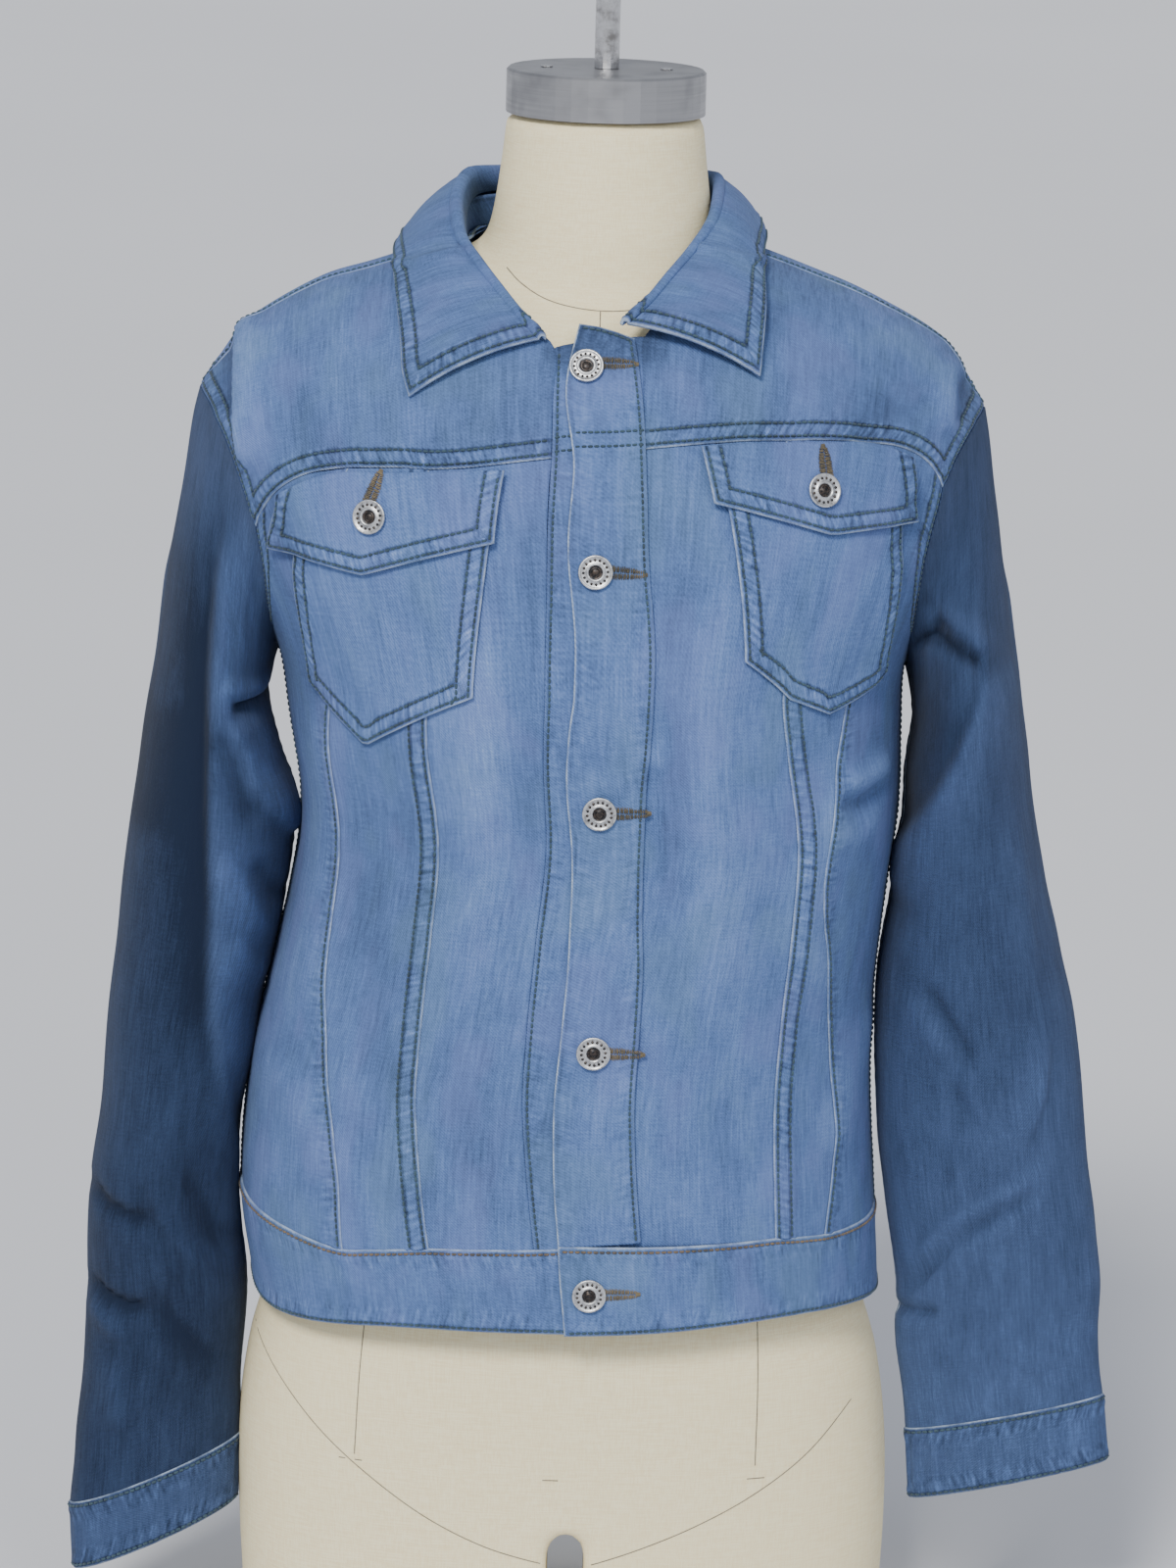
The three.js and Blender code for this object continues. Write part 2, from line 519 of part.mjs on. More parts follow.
// ---------------------------------------------------------------- collar
// Stations from the wearer's right front end round the neck to the left front end.
const COLLAR = [
  { nx: -28, nz: 665, ns: -1, rx: -28, ry: -93, rz: 673, ex: -92, ey: -96, ez: 641, fold: 1.6 },
  { nx: -36, nz: 673, ns: -1, rx: -37, ry: -88, rz: 681, ex: -96, ey: -88, ez: 653, fold: 1.7 },
  { nx: -46, nz: 684, ns: -1, rx: -48, ry: -77.6, rz: 692.6, ex: -98, ey: -73, ez: 670, fold: 1.9 },
  { nx: -57, nz: 694, ns: -1, rx: -60, ry: -61, rz: 705, ex: -101, ey: -50, ez: 686, fold: 2.2 },
  { nx: -63, nz: 701, ns: -1, rx: -70, ry: -40, rz: 716, ex: -103, ey: -22, ez: 695, fold: 2.6 },
  { nx: -67, nz: 707, ns: 1, rx: -74, ry: -9, rz: 731, ex: -104, ey: 8, ez: 699, fold: 3 },
  { nx: -58, nz: 706, ns: 1, rx: -75, ry: 20, rz: 739, ex: -98, ey: 42, ez: 692, fold: 3 },
  { nx: -32, nz: 708, ns: 1, rx: -48, ry: 56, rz: 738, ex: -62, ey: 80, ez: 681, fold: 3 },
  { nx: 0, nz: 709, ns: 1, rx: 0, ry: 70, rz: 737, ex: 0, ey: 91, ez: 677, fold: 3 },
  { nx: 32, nz: 708, ns: 1, rx: 40, ry: 60, rz: 738, ex: 50, ey: 82, ez: 681, fold: 3 },
  { nx: 57, nz: 706, ns: 1, rx: 58, ry: 30, rz: 740, ex: 74, ey: 44, ez: 694, fold: 2.6 },
  { nx: 66, nz: 707, ns: 1, rx: 58.5, ry: 3, rz: 741, ex: 79, ey: 6, ez: 702, fold: 2.2 },
  { nx: 62, nz: 701, ns: -1, rx: 55, ry: -29, rz: 727, ex: 80, ey: -24, ez: 702, fold: 2 },
  { nx: 54, nz: 696, ns: -1, rx: 45, ry: -51, rz: 714, ex: 81, ey: -50, ez: 697, fold: 1.9 },
  { nx: 40, nz: 686, ns: -1, rx: 33, ry: -72, rz: 702, ex: 81, ey: -72, ez: 685, fold: 1.8 },
  { nx: 27, nz: 677, ns: -1, rx: 22, ry: -85, rz: 690, ex: 80, ey: -85, ez: 670, fold: 1.7 },
  { nx: 14, nz: 673, ns: -1, rx: 12, ry: -95, rz: 682, ex: 79, ey: -93, ez: 656, fold: 1.6 },
];
const COLLAR_STATIONS = 26;
const STAND_SHARE = 0.6;      // how far up the stand its upper seam lies
const STAND_FOOT = 2.7;         // rise of the stand's foot above the neck seam
const STAND_GAP = 2.2;        // air between stand and collar, which meet at a slight angle
const BULGE = 4;
const STRIP_HEIGHT = OVER + CLOTH + DOUBLE / 2 + 0.6;
const REST_HEIGHT = CLOTH + DOUBLE / 2 + 0.5;
const BACK_HEIGHT = REST_HEIGHT + 1.3;

// Moves a point out until it stands clear of the jacket's body.
function lifted(p) {
  const side = p.y > AXIS_Y ? 1 : -1;
  const at = place(p.x, Math.min(p.z, ridgeZ(p.x)), side);
  const { normal } = bodyFrame(at.a, at.v);
  const gap = p.clone().sub(innerPoint(at.a, at.v)).dot(normal);
  const near = THREE.MathUtils.smoothstep(p.x, -24, -12) * (1 - THREE.MathUtils.smoothstep(p.x, 34, 46));
  const need = side < 0 ? lerp(REST_HEIGHT, STRIP_HEIGHT, near) : BACK_HEIGHT;
  return gap < need ? p.clone().addScaledVector(normal, need - gap) : p;
}
function collarLines() {
  const line = (f) => new THREE.CatmullRomCurve3(COLLAR.map(f), false, 'centripetal');
  const foot = line((r) => bodyPoint(place(r.nx, r.nz, r.ns), CLOTH / 2));
  const roll = line((r) => new THREE.Vector3(r.rx, r.ry, r.rz));
  const edge = line((r) => new THREE.Vector3(r.ex, r.ey, r.ez));
  return { foot, roll, edge };
}
function collarStation(lines, t) {
  const foot = lines.foot.getPoint(t);
  const roll = lines.roll.getPoint(t);
  const edge = lifted(lines.edge.getPoint(t));
  const index = t * (COLLAR.length - 1);
  const k = Math.min(Math.floor(index), COLLAR.length - 2);
  const fold = lerp(COLLAR[k].fold, COLLAR[k + 1].fold, index - k);
  const out = edge.clone().sub(roll).setZ(0).normalize();
  const heart = roll.clone().setZ(roll.z - fold);
  const inside = heart.clone().addScaledVector(out, -fold);
  const start = foot.clone().addScaledVector(inside.clone().sub(foot).normalize(), STAND_FOOT);
  return { start, inside, heart, out, fold, edge };
}
const ARC_STEPS = 4;
const FALL_STEPS = 5;
function collarPath(s) {
  const points = [s.start.clone().lerp(s.inside, STAND_SHARE)];
  points[0].addScaledVector(s.inside.clone().sub(s.start).normalize(), STAND_GAP);
  for (let k = 0; k <= ARC_STEPS; k += 1) {
    const turn = (Math.PI * k) / ARC_STEPS;
    const p = s.heart.clone().addScaledVector(s.out, -s.fold * Math.cos(turn));
    points.push(p.setZ(p.z + s.fold * Math.sin(turn)));
  }
  const from = points[points.length - 1];
  const chord = s.edge.clone().sub(from);
  const side = new THREE.Vector3().crossVectors(new THREE.Vector3(0, 0, 1), s.out);
  const up = new THREE.Vector3().crossVectors(chord, side).normalize();
  if (up.z < 0) up.negate();
  for (let k = 1; k <= FALL_STEPS; k += 1) {
    const t = k / FALL_STEPS;
    const p = from.clone().addScaledVector(chord, t).addScaledVector(up, 4 * BULGE * t * (1 - t));
    points.push(lifted(p));
  }
  return points;
}
const collarStations = Array.from({ length: COLLAR_STATIONS + 1 }, (_, k) => (
  collarStation(collarLines(), k / COLLAR_STATIONS)));
const collarPaths = collarStations.map(collarPath);
add('collar', sheet(collarPaths, DOUBLE), 'denim');
add('collar_stand', sheet(collarStations.slice(2, -1).map((s) => [0, 0.5, 1].map((t) => (
  s.start.clone().lerp(s.start.clone().lerp(s.inside, STAND_SHARE), t)))), CLOTH), 'denim');

// ---------------------------------------------------------------- sleeves and cuffs
// Each row is one ring: its outer and inner point and how deep it is, front to back.
const SLEEVES = {
  right: [
    { ox: -203, oz: 612, ix: -162, iz: 494, mid: 5, deep: 57 },
    { ox: -207, oz: 588, ix: -164, iz: 482, mid: 5, deep: 62 },
    { ox: -212, oz: 556, ix: -164, iz: 469, mid: 4, deep: 66 },
    { ox: -217, oz: 518, ix: -162, iz: 456, mid: 3, deep: 68 },
    { ox: -222, oz: 482, ix: -158, iz: 442, mid: 2, deep: 67 },
    { ox: -228, oz: 440, ix: -151, iz: 420, mid: 1, deep: 64 },
    { ox: -234, oz: 396, ix: -152, iz: 388, mid: 0, deep: 60 },
    { ox: -238, oz: 352, ix: -158, iz: 350, mid: 0, deep: 57 },
    { ox: -242, oz: 310, ix: -167, iz: 312, mid: -1, deep: 53 },
    { ox: -245, oz: 270, ix: -173, iz: 275, mid: -2, deep: 49 },
    { ox: -249, oz: 228, ix: -176.5, iz: 238, mid: -3, deep: 44 },
    { ox: -252, oz: 188, ix: -176.5, iz: 206, mid: -4, deep: 39 },
    { ox: -252, oz: 150, ix: -172, iz: 174, mid: -5, deep: 34 },
    { ox: -253, oz: 112, ix: -171, iz: 142, mid: -6, deep: 29 },
    { ox: -257, oz: 78, ix: -173, iz: 112, mid: -7, deep: 25 },
    { ox: -259, oz: 44, ix: -173, iz: 84, mid: -8, deep: 22 },
    { ox: -257, oz: 8, ix: -174, iz: 48, mid: -9, deep: 22 },
  ],
  left: [
    { ox: 197, oz: 611, ix: 162, iz: 494, mid: 5, deep: 57 },
    { ox: 201, oz: 586, ix: 164, iz: 482, mid: 5, deep: 62 },
    { ox: 206, oz: 552, ix: 165, iz: 469, mid: 4, deep: 66 },
    { ox: 212, oz: 516, ix: 164, iz: 456, mid: 3, deep: 67 },
    { ox: 218, oz: 476, ix: 162, iz: 440, mid: 2, deep: 64 },
    { ox: 225, oz: 434, ix: 161, iz: 415, mid: 1, deep: 60 },
    { ox: 234, oz: 390, ix: 158, iz: 384, mid: 0, deep: 54 },
    { ox: 243, oz: 354, ix: 153.5, iz: 352, mid: -2, deep: 47 },
    { ox: 252, oz: 315, ix: 151, iz: 318, mid: -4, deep: 39 },
    { ox: 257, oz: 277, ix: 152, iz: 283, mid: -6, deep: 32 },
    { ox: 262, oz: 240, ix: 155.5, iz: 250, mid: -7, deep: 27 },
    { ox: 267, oz: 204, ix: 160, iz: 214, mid: -8, deep: 22 },
    { ox: 270, oz: 176, ix: 165, iz: 180, mid: -9, deep: 18 },
    { ox: 271, oz: 152, ix: 168, iz: 148, mid: -10, deep: 14 },
    { ox: 272, oz: 134, ix: 171, iz: 120, mid: -10, deep: 12 },
    { ox: 274, oz: 117, ix: 174, iz: 96, mid: -10, deep: 11 },
    { ox: 278, oz: 81, ix: 177, iz: 58, mid: -10, deep: 11 },
  ],
};
// Main folds: place round the ring and down the sleeve, spread each way, and height.
const FOLDS = {
  right: [
    { round: 5.2, row: 8, wide: 1.3, long: 5, high: 7 },
    { round: 3.2, row: 7, wide: 1.2, long: 5, high: -5 },
    { round: 3, row: 3.2, wide: 1, long: 1.1, high: -9 },
    { round: 13, row: 8, wide: 1.6, long: 4, high: -5 },
  ],
  left: [
    { round: 4.2, row: 4, wide: 1.1, long: 2.2, high: 6 },
    { round: 2.6, row: 3.4, wide: 1, long: 1.2, high: -9 },
    { round: 3.4, row: 7, wide: 1.2, long: 3, high: -4 },
    { round: 13, row: 8, wide: 1.6, long: 4, high: -5 },
  ],
};
const RING = 18;
const SPLIT = 11;             // ring place of the sleeve's rear seam
const CAP_BLEND = [0, 0.3, 0.62, 0.88, 1];
const CAP_GAP = 1.8;          // how far the sleeve's first ring lies outside the armhole seam
const SLEEVE_ROWS = 16;

function armhole(e, yoke, backHoleUpper, backEdge, sign) {
  const low = e.sideLine.slice(SIDE_ROWS);
  const rearLow = backEdge.slice(SIDE_ROWS);
  const ring = joined(joined(joined(low, yoke.start), [...backHoleUpper].reverse()), [...rearLow].reverse());
  return ring.map((p) => {
    const point = bodyPoint(p, CLOTH / 2);
    return point.setX(point.x + sign * CAP_GAP);
  });
}
function ringPoint(row, u) {
  const turn = (2 * Math.PI * u) / RING;
  const c = Math.cos(turn);
  return new THREE.Vector3(
    (row.ox + row.ix) / 2 - ((row.ox - row.ix) / 2) * c,
    row.mid - row.deep * Math.sin(turn),
    (row.oz + row.iz) / 2 - ((row.oz - row.iz) / 2) * c,
  );
}
const ringHeart = (row) => new THREE.Vector3((row.ox + row.ix) / 2, row.mid, (row.oz + row.iz) / 2);
function foldHeight(folds, u, j) {
  return folds.reduce((sum, f) => {
    const round = (((u + RING) % RING) - f.round) / f.wide;
    const along = (j - f.row) / f.long;
    return sum + f.high * Math.exp(-round * round - along * along);
  }, 0);
}
function sleevePoint(word, hole, u, j) {
  const rows = SLEEVES[word];
  const place0 = (u + RING) % RING;
  const k = Math.floor(place0);
  const start = hole[k].clone().lerp(hole[k + 1], place0 - k);
  if (j === 0) return start;
  const row = rows[j - 1];
  const share = CAP_BLEND[Math.min(j, CAP_BLEND.length - 1)];
  const heart = ringHeart(row);
  const holeHeart = hole[0].clone().lerp(hole[RING / 2], 0.5);
  const moved = start.add(heart.clone().sub(holeHeart));
  const p = moved.lerp(ringPoint(row, u), share);
  const out = p.clone().sub(heart).normalize();
  return p.addScaledVector(out, foldHeight(FOLDS[word], u, j));
}
const SPLIT_SHARE = 0.02;     // seam gap as a share of one ring step
function addSleeve(word, hole) {
  const piece = (from, to) => {
    const stops = Array.from({ length: to - from + 3 }, (_, k) => from + k - 1);
    stops[1] += SPLIT_SHARE;
    stops[stops.length - 2] -= SPLIT_SHARE;
    return Array.from({ length: SLEEVE_ROWS + 1 }, (_, j) => stops.map((u) => sleevePoint(word, hole, u, j)));
  };
  add(`sleeve_front_${word}`, sheet(piece(0, SPLIT), CLOTH, false, 1), 'denim');
  add(`sleeve_back_${word}`, sheet(piece(SPLIT, RING), CLOTH, false, 1), 'denim');
  const [top, foot] = SLEEVES[word].slice(-2);
  const mix = (t) => Object.fromEntries(Object.keys(top).map((key) => [key, lerp(top[key], foot[key], t)]));
  const ring = (t) => Array.from({ length: RING + 1 }, (_, u) => ringPoint(mix(t), u % RING));
  add(`cuff_${word}`, sheet([0.022, 0.5, 1].map(ring), DOUBLE, true), 'denim');
}
addSleeve('right', armhole(RIGHT, YOKE_R, backHoleR, backStart, -1));
addSleeve('left', armhole(LEFT, YOKE_L, backHoleL, backEnd, 1));

// ---------------------------------------------------------------- buttons
const BUTTON_R = 8.6;
const BUTTON_SIDES = 16;
const BUTTON_PROFILE = [
  [0, 0], [3.4, 0], [3.4, 0.9], [8.6, 1.3], [8.6, 2.2], [7.7, 3], [5.1, 2.7], [4.5, 1.9], [0, 1.9],
];
function button(name, x, z, out) {
  const profile = BUTTON_PROFILE.map(([r, h]) => new THREE.Vector2((r * BUTTON_R) / 8.6, h));
  const at = place(x, z, -1);
  const { normal } = bodyFrame(at.a, at.v);
  const mesh = add(name, new THREE.LatheGeometry(profile, BUTTON_SIDES), 'button_metal');
  mesh.position.copy(bodyPoint(at, out));
  mesh.quaternion.setFromUnitVectors(new THREE.Vector3(0, 1, 0), normal);
}
const FRONT_BUTTONS = [{ x: -6, z: 658 }, { x: 1, z: 563 }, { x: 6, z: 444 }, { x: 6, z: 321 }];
const SEATED = [-0.35, 0, 0, 0];  // the strip's facets lie a little under its true curve at the top
FRONT_BUTTONS.forEach((b, k) => button(`button_front_${k + 1}`, b.x, b.z, OVER + CLOTH + SEAM + SEATED[k]));
button('button_front_5', 7, 195, DOUBLE + BAND_FOLD + DOUBLE + SEAM);
button('button_flap_right', -107, 584, FLAP_LOW + DOUBLE + SEAM);
button('button_flap_left', 109, 601, FLAP_LOW + DOUBLE + SEAM);

// ---------------------------------------------------------------- dress form
const wasm = await Module();
wasm.setup();
function solid(geometry) {
  const bare = new THREE.BufferGeometry();
  bare.setAttribute('position', geometry.getAttribute('position'));
  if (geometry.index) bare.setIndex(geometry.index);
  const merged = mergeVertices(bare, 1e-4);
  const vertProperties = new Float32Array(merged.getAttribute('position').array);
  const triVerts = new Uint32Array(merged.index.array);
  return new wasm.Manifold(new wasm.Mesh({ numProp: 3, vertProperties, triVerts }));
}
function geometryOf(manifold) {
  const { vertProperties, triVerts, numProp } = manifold.getMesh();
  const positions = [];
  for (const v of triVerts) positions.push(...vertProperties.slice(v * numProp, v * numProp + 3));
  const geometry = new THREE.BufferGeometry();
  geometry.setAttribute('position', new THREE.Float32BufferAttribute(positions, 3));
  return mergeVertices(geometry, 1e-4);
}
// Torso of the form: x of each side and depth before and behind.
const FORM = [
  { z: BASE_Z, right: -168, left: 161, front: 84, back: 92 },
  { z: 40, right: -172, left: 164, front: 88, back: 98 },
  { z: 92, right: -173, left: 163, front: 93, back: 106 },
  { z: 135, right: -168, left: 157, front: 97, back: 107 },
  { z: 165, right: -160, left: 148, front: 97, back: 104 },
  { z: 200, right: -153, left: 140, front: 94, back: 97 },
  { z: 250, right: -138, left: 126, front: 88, back: 88 },
  { z: 310, right: -122, left: 118, front: 86, back: 80 },
  { z: 370, right: -119, left: 122, front: 93, back: 81 },
  { z: 430, right: -130, left: 134, front: 110, back: 88 },
  { z: 480, right: -140, left: 141, front: 120, back: 91 },
  { z: 500, right: -144, left: 144, front: 121, back: 92 },
  { z: 560, right: -156, left: 154, front: 119, back: 94 },
  { z: 620, right: -166, left: 163, front: 119, back: 95 },
  { z: 730, right: -168, left: 165, front: 122, back: 97 },
];
const FORM_SHOULDER = [
  { x: -168, z: 620 }, { x: -160, z: 652 }, { x: -148, z: 673 }, { x: -136, z: 682 }, { x: -116, z: 689.3 },
  { x: -68, z: 705.2 }, { x: 0, z: 717.5 }, { x: 68, z: 705.3 }, { x: 116, z: 689 }, { x: 134, z: 680 },
  { x: 146, z: 670 }, { x: 157, z: 651 }, { x: 165, z: 620 },
];
const FORM_POWER = 2.2;       // roundness of the form's shoulders, in front
const FORM_BACK_POWER = 1.3;  // and behind
const FORM_RINGS = 40;
const FORM_LEVELS = [BASE_Z, 20, 60, 100, 135, 165, 200, 250, 310, 370, 430, 470, 500];
const FORM_RISES = [0.3, 0.5, 0.65, 0.78, 0.88, 0.95, 1];
function formPoint(a, z0, rise) {
  const rear = Math.sin(a) > 0;
  const power = rear ? FORM_BACK_POWER : FORM_POWER;
  const across = signedPower(Math.cos(a), 2 / PLAN_POWER);
  const deep = signedPower(Math.sin(a), 2 / PLAN_POWER);
  let z = z0;
  let x = 0;
  for (let i = 0; i < 12; i += 1) {
    const left = read(FORM, 'z', 'left', z);
    const right = read(FORM, 'z', 'right', z);
    x = (left + right) / 2 + ((left - right) / 2) * across;
    if (rise > 0) z = UNDERARM + (read(FORM_SHOULDER, 'x', 'z', x) - UNDERARM) * rise;
  }
  const round = rise > 0 ? Math.max(1 - rise ** power, 0) ** (1 / power) : 1;
  const depth = rear ? read(FORM, 'z', 'back', z) - AXIS_Y : read(FORM, 'z', 'front', z) + AXIS_Y;
  return new THREE.Vector3(x, AXIS_Y + depth * deep * round, z);
}
// Closed loft through rings of equal count, with flat ends.
function loft(rings) {
  const positions = [];
  const push = (...points) => points.forEach((p) => positions.push(p.x, p.y, p.z));
  const count = rings[0].length;
  for (let j = 0; j < rings.length - 1; j += 1) {
    for (let i = 0; i < count; i += 1) {
      const n = (i + 1) % count;
      push(rings[j][i], rings[j][n], rings[j + 1][n]);
      push(rings[j][i], rings[j + 1][n], rings[j + 1][i]);
    }
  }
  const last = rings[rings.length - 1];
  for (let i = 1; i < count - 1; i += 1) {
    push(rings[0][0], rings[0][i + 1], rings[0][i]);
    push(last[0], last[i], last[i + 1]);
  }
  return closedGeometry(positions);
}
function torsoGeometry() {
  const angles = Array.from({ length: FORM_RINGS }, (_, i) => -Math.PI + (2 * Math.PI * i) / FORM_RINGS);
  const rings = FORM_LEVELS.map((z) => angles.map((a) => formPoint(a, z, 0)));
  FORM_RISES.forEach((rise) => rings.push(angles.map((a) => formPoint(a, UNDERARM, rise))));
  const positions = [];
  const push = (...points) => points.forEach((p) => positions.push(p.x, p.y, p.z));
  for (let j = 0; j < rings.length - 1; j += 1) {
    for (let i = 0; i < FORM_RINGS; i += 1) {
      const n = (i + 1) % FORM_RINGS;
      push(rings[j][i], rings[j][n], rings[j + 1][n], rings[j][i], rings[j + 1][n], rings[j + 1][i]);
    }
  }
  for (let i = 1; i < FORM_RINGS - 1; i += 1) push(rings[0][0], rings[0][i + 1], rings[0][i]);
  return closedGeometry(positions);
}
const NECK = [
  { z: 690, rx: 82, ry: 61 }, { z: 701, rx: 68, ry: 59 }, { z: 707, rx: 61.3, ry: 57.8 }, { z: 714, rx: 57.5, ry: 57 },
  { z: 724, rx: 55, ry: 55 }, { z: 745, rx: 52, ry: 52 }, { z: 773, rx: 49, ry: 49 },
];
const NECK_SIDES = 36;
const NECK_TOP = 773;
function neckGeometry() {
  return loft(NECK.map((r) => Array.from({ length: NECK_SIDES }, (_, i) => {
    const turn = (2 * Math.PI * i) / NECK_SIDES;
    return new THREE.Vector3(r.rx * Math.cos(turn), r.ry * Math.sin(turn), r.z);
  })));
}
const CROTCH = { left: 8, right: -11, top: 57, reach: 300 };
function crotchGeometry() {
  const radius = (CROTCH.left - CROTCH.right) / 2;
  const shape = new THREE.Shape();
  shape.moveTo(CROTCH.right, BASE_Z - 10);
  shape.lineTo(CROTCH.left, BASE_Z - 10);
  shape.lineTo(CROTCH.left, CROTCH.top - radius);
  shape.absarc(CROTCH.right + radius, CROTCH.top - radius, radius, 0, Math.PI, false);
  const cut = new THREE.ExtrudeGeometry(shape, { depth: CROTCH.reach, bevelEnabled: false, curveSegments: 6 });
  cut.rotateX(Math.PI / 2);
  cut.translate(0, CROTCH.reach / 2, 0);
  return cut;
}
const form = solid(torsoGeometry()).add(solid(neckGeometry())).subtract(solid(crotchGeometry()));
add('dress_form', geometryOf(form), 'linen');

// Steel neck cap, its two screws and the hanging rod.
const CAP = { radius: 50, height: 22, edge: 1.2, sides: 36 };
const ROD = { radius: 6.25, height: 52, sides: 20 };
const SCREW = { radius: 3.2, height: 0.8, x: 30, y: 0, sides: 12 };
function turned(name, profile, sides, look, x, y, z) {
  const points = profile.map(([r, h]) => new THREE.Vector2(r, h));
  const mesh = add(name, new THREE.LatheGeometry(points, sides), look);
  mesh.rotation.x = Math.PI / 2;
  mesh.position.set(x, y, z);
}
const capZ = NECK_TOP + SEAM;
turned('neck_cap', [
  [0, 0], [CAP.radius, 0], [CAP.radius, CAP.height - CAP.edge], [CAP.radius - CAP.edge, CAP.height], [0, CAP.height],
], CAP.sides, 'cap_steel', 0, 0, capZ);
const capTop = capZ + CAP.height + SEAM;
turned('rod', [[0, 0], [ROD.radius, 0], [ROD.radius, ROD.height], [0, ROD.height]], ROD.sides, 'rod_chrome', 0, 0, capTop);
[-1, 1].forEach((sign, k) => turned(`cap_screw_${k + 1}`, [
  [0, 0], [SCREW.radius, 0], [SCREW.radius, SCREW.height / 2], [SCREW.radius / 2, SCREW.height], [0, SCREW.height],
], SCREW.sides, 'cap_steel', sign * SCREW.x, SCREW.y, capTop));

// The origin is the middle of the footprint, on the ground.
group.updateMatrixWorld(true);
const box = new THREE.Box3().setFromObject(group, true);
const middle = box.getCenter(new THREE.Vector3());
group.position.set(-middle.x, -middle.y, -box.min.z);
export default group;
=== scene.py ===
# A short denim jacket buttoned on a headless dress form. Design lengths are millimetres:
# X runs to the wearer's left, -Y is the front, +Z is up, and x = y = 0 is the middle of the neck.
import math
from functools import reduce
import bmesh
import bpy
import numpy as np
from mathutils import Matrix, Vector
from mathutils.bvhtree import BVHTree


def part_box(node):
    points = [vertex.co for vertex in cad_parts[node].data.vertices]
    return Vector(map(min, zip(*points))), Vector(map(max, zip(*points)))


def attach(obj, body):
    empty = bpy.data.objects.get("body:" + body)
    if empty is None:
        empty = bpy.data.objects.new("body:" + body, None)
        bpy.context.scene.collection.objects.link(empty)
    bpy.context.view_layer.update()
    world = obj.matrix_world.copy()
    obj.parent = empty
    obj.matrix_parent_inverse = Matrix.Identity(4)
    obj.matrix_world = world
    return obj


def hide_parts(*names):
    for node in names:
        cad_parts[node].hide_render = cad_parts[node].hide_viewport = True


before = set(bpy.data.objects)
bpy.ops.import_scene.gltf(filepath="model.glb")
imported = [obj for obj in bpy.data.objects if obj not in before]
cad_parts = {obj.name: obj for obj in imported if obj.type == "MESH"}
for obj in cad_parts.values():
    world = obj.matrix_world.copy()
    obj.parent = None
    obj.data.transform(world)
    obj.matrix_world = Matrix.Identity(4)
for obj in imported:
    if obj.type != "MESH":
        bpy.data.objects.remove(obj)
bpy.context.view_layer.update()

MM = 0.001
CAP_FOOT = 773.3              # design height of the steel cap's underside
CAP_BOX = np.array(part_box("neck_cap")) / MM
# From design lengths to the frame's: the cap's middle is over x = y = 0
SHIFT = np.array([*CAP_BOX.mean(0)[:2], CAP_BOX[0, 2] - CAP_FOOT])


def metres(points):
    """Design points in the frame's metres."""
    return (np.asarray(points, float) + SHIFT) * MM


# ------------------------------------------------------------------ tables
def table(names, *rows):
    """Named columns of a short table, each as an array."""
    return dict(zip(names.split(), np.array(rows, float).T))


def read(columns, key, field, at):
    """Smooth value of one column of a table whose key column rises."""
    k, f = columns[key], columns[field]
    slope = np.empty(len(k))
    slope[1:-1] = (f[2:] - f[:-2]) / (k[2:] - k[:-2])
    slope[0] = (f[1] - f[0]) / (k[1] - k[0])
    slope[-1] = (f[-1] - f[-2]) / (k[-1] - k[-2])
    x = np.clip(at, k[0], k[-1])
    i = np.clip(np.searchsorted(k, x) - 1, 0, len(k) - 2)
    h = k[i + 1] - k[i]
    t = (x - k[i]) / h
    m0, m1 = slope[i] * h, slope[i + 1] * h
    p0, p1 = f[i], f[i + 1]
    return p0 + t * (m0 + t * (3 * (p1 - p0) - 2 * m0 - m1 + t * (2 * (p0 - p1) + m0 + m1)))


def signed_power(value, power):
    return np.sign(value) * np.abs(value) ** power


def smoothstep(low, high, value):
    t = np.clip((value - low) / (high - low), 0, 1)
    return t * t * (3 - 2 * t)


def lerp(a, b, t):
    return a + (b - a) * t


CLOTH = 1.6                   # thickness of one layer of cloth
DOUBLE = 2.4                  # thickness of a folded or turned piece
LAID = 1.4                    # air under a patch laid on a panel
BRIDGE = 0.9                  # air under the strip that laps over the other
OVER = CLOTH + BRIDGE         # level of that strip's under face
UNDERARM = 500
RIDGE_STEP = 220              # run of the height scale from the underarm to the shoulder's ridge
RIDGE = UNDERARM + RIDGE_STEP
AXIS_Y = 5
BASE_Z = -20
ANGLE_SCALE = 140             # rough radius, so that angles count as lengths
# Powers of the rounded outlines: in plan, over the chest and over the shoulder blades
PLAN_POWER, CHEST_POWER, BLADE_POWER = 2.4, 2.3, 3.4
SOLVE_ROUNDS = 12             # rounds that settle the height of a point on the shoulder

GIRTHS = table(
    "z right left front back",
    (150, -162, 151, 117, 112), (168, -164, 153, 118, 114), (216, -171, 151, 119, 115),
    (286, -167, 146, 121, 112), (330, -158, 147, 123, 108), (376, -149, 151, 125, 104),
    (423, -144, 156, 128, 101), (470, -152, 156, 131, 100), (500, -158, 158, 132, 100),
    (550, -176, 173, 132, 101), (600, -196, 188, 131, 101), (650, -205, 196, 130, 100),
    (730, -207, 199, 130, 100))
SHOULDER = table(
    "x z", (-200, 627), (-182, 655), (-174, 663), (-140, 683), (-116, 691), (-68, 707), (0, 720),
    (68, 707), (116, 690), (140, 679), (172, 661), (180, 651), (194, 627))


def ridge_z(x):
    return read(SHOULDER, "x", "z", x)


def body_mid(z):
    return (read(GIRTHS, "z", "left", z) + read(GIRTHS, "z", "right", z)) / 2


def body_half(z):
    return (read(GIRTHS, "z", "left", z) - read(GIRTHS, "z", "right", z)) / 2


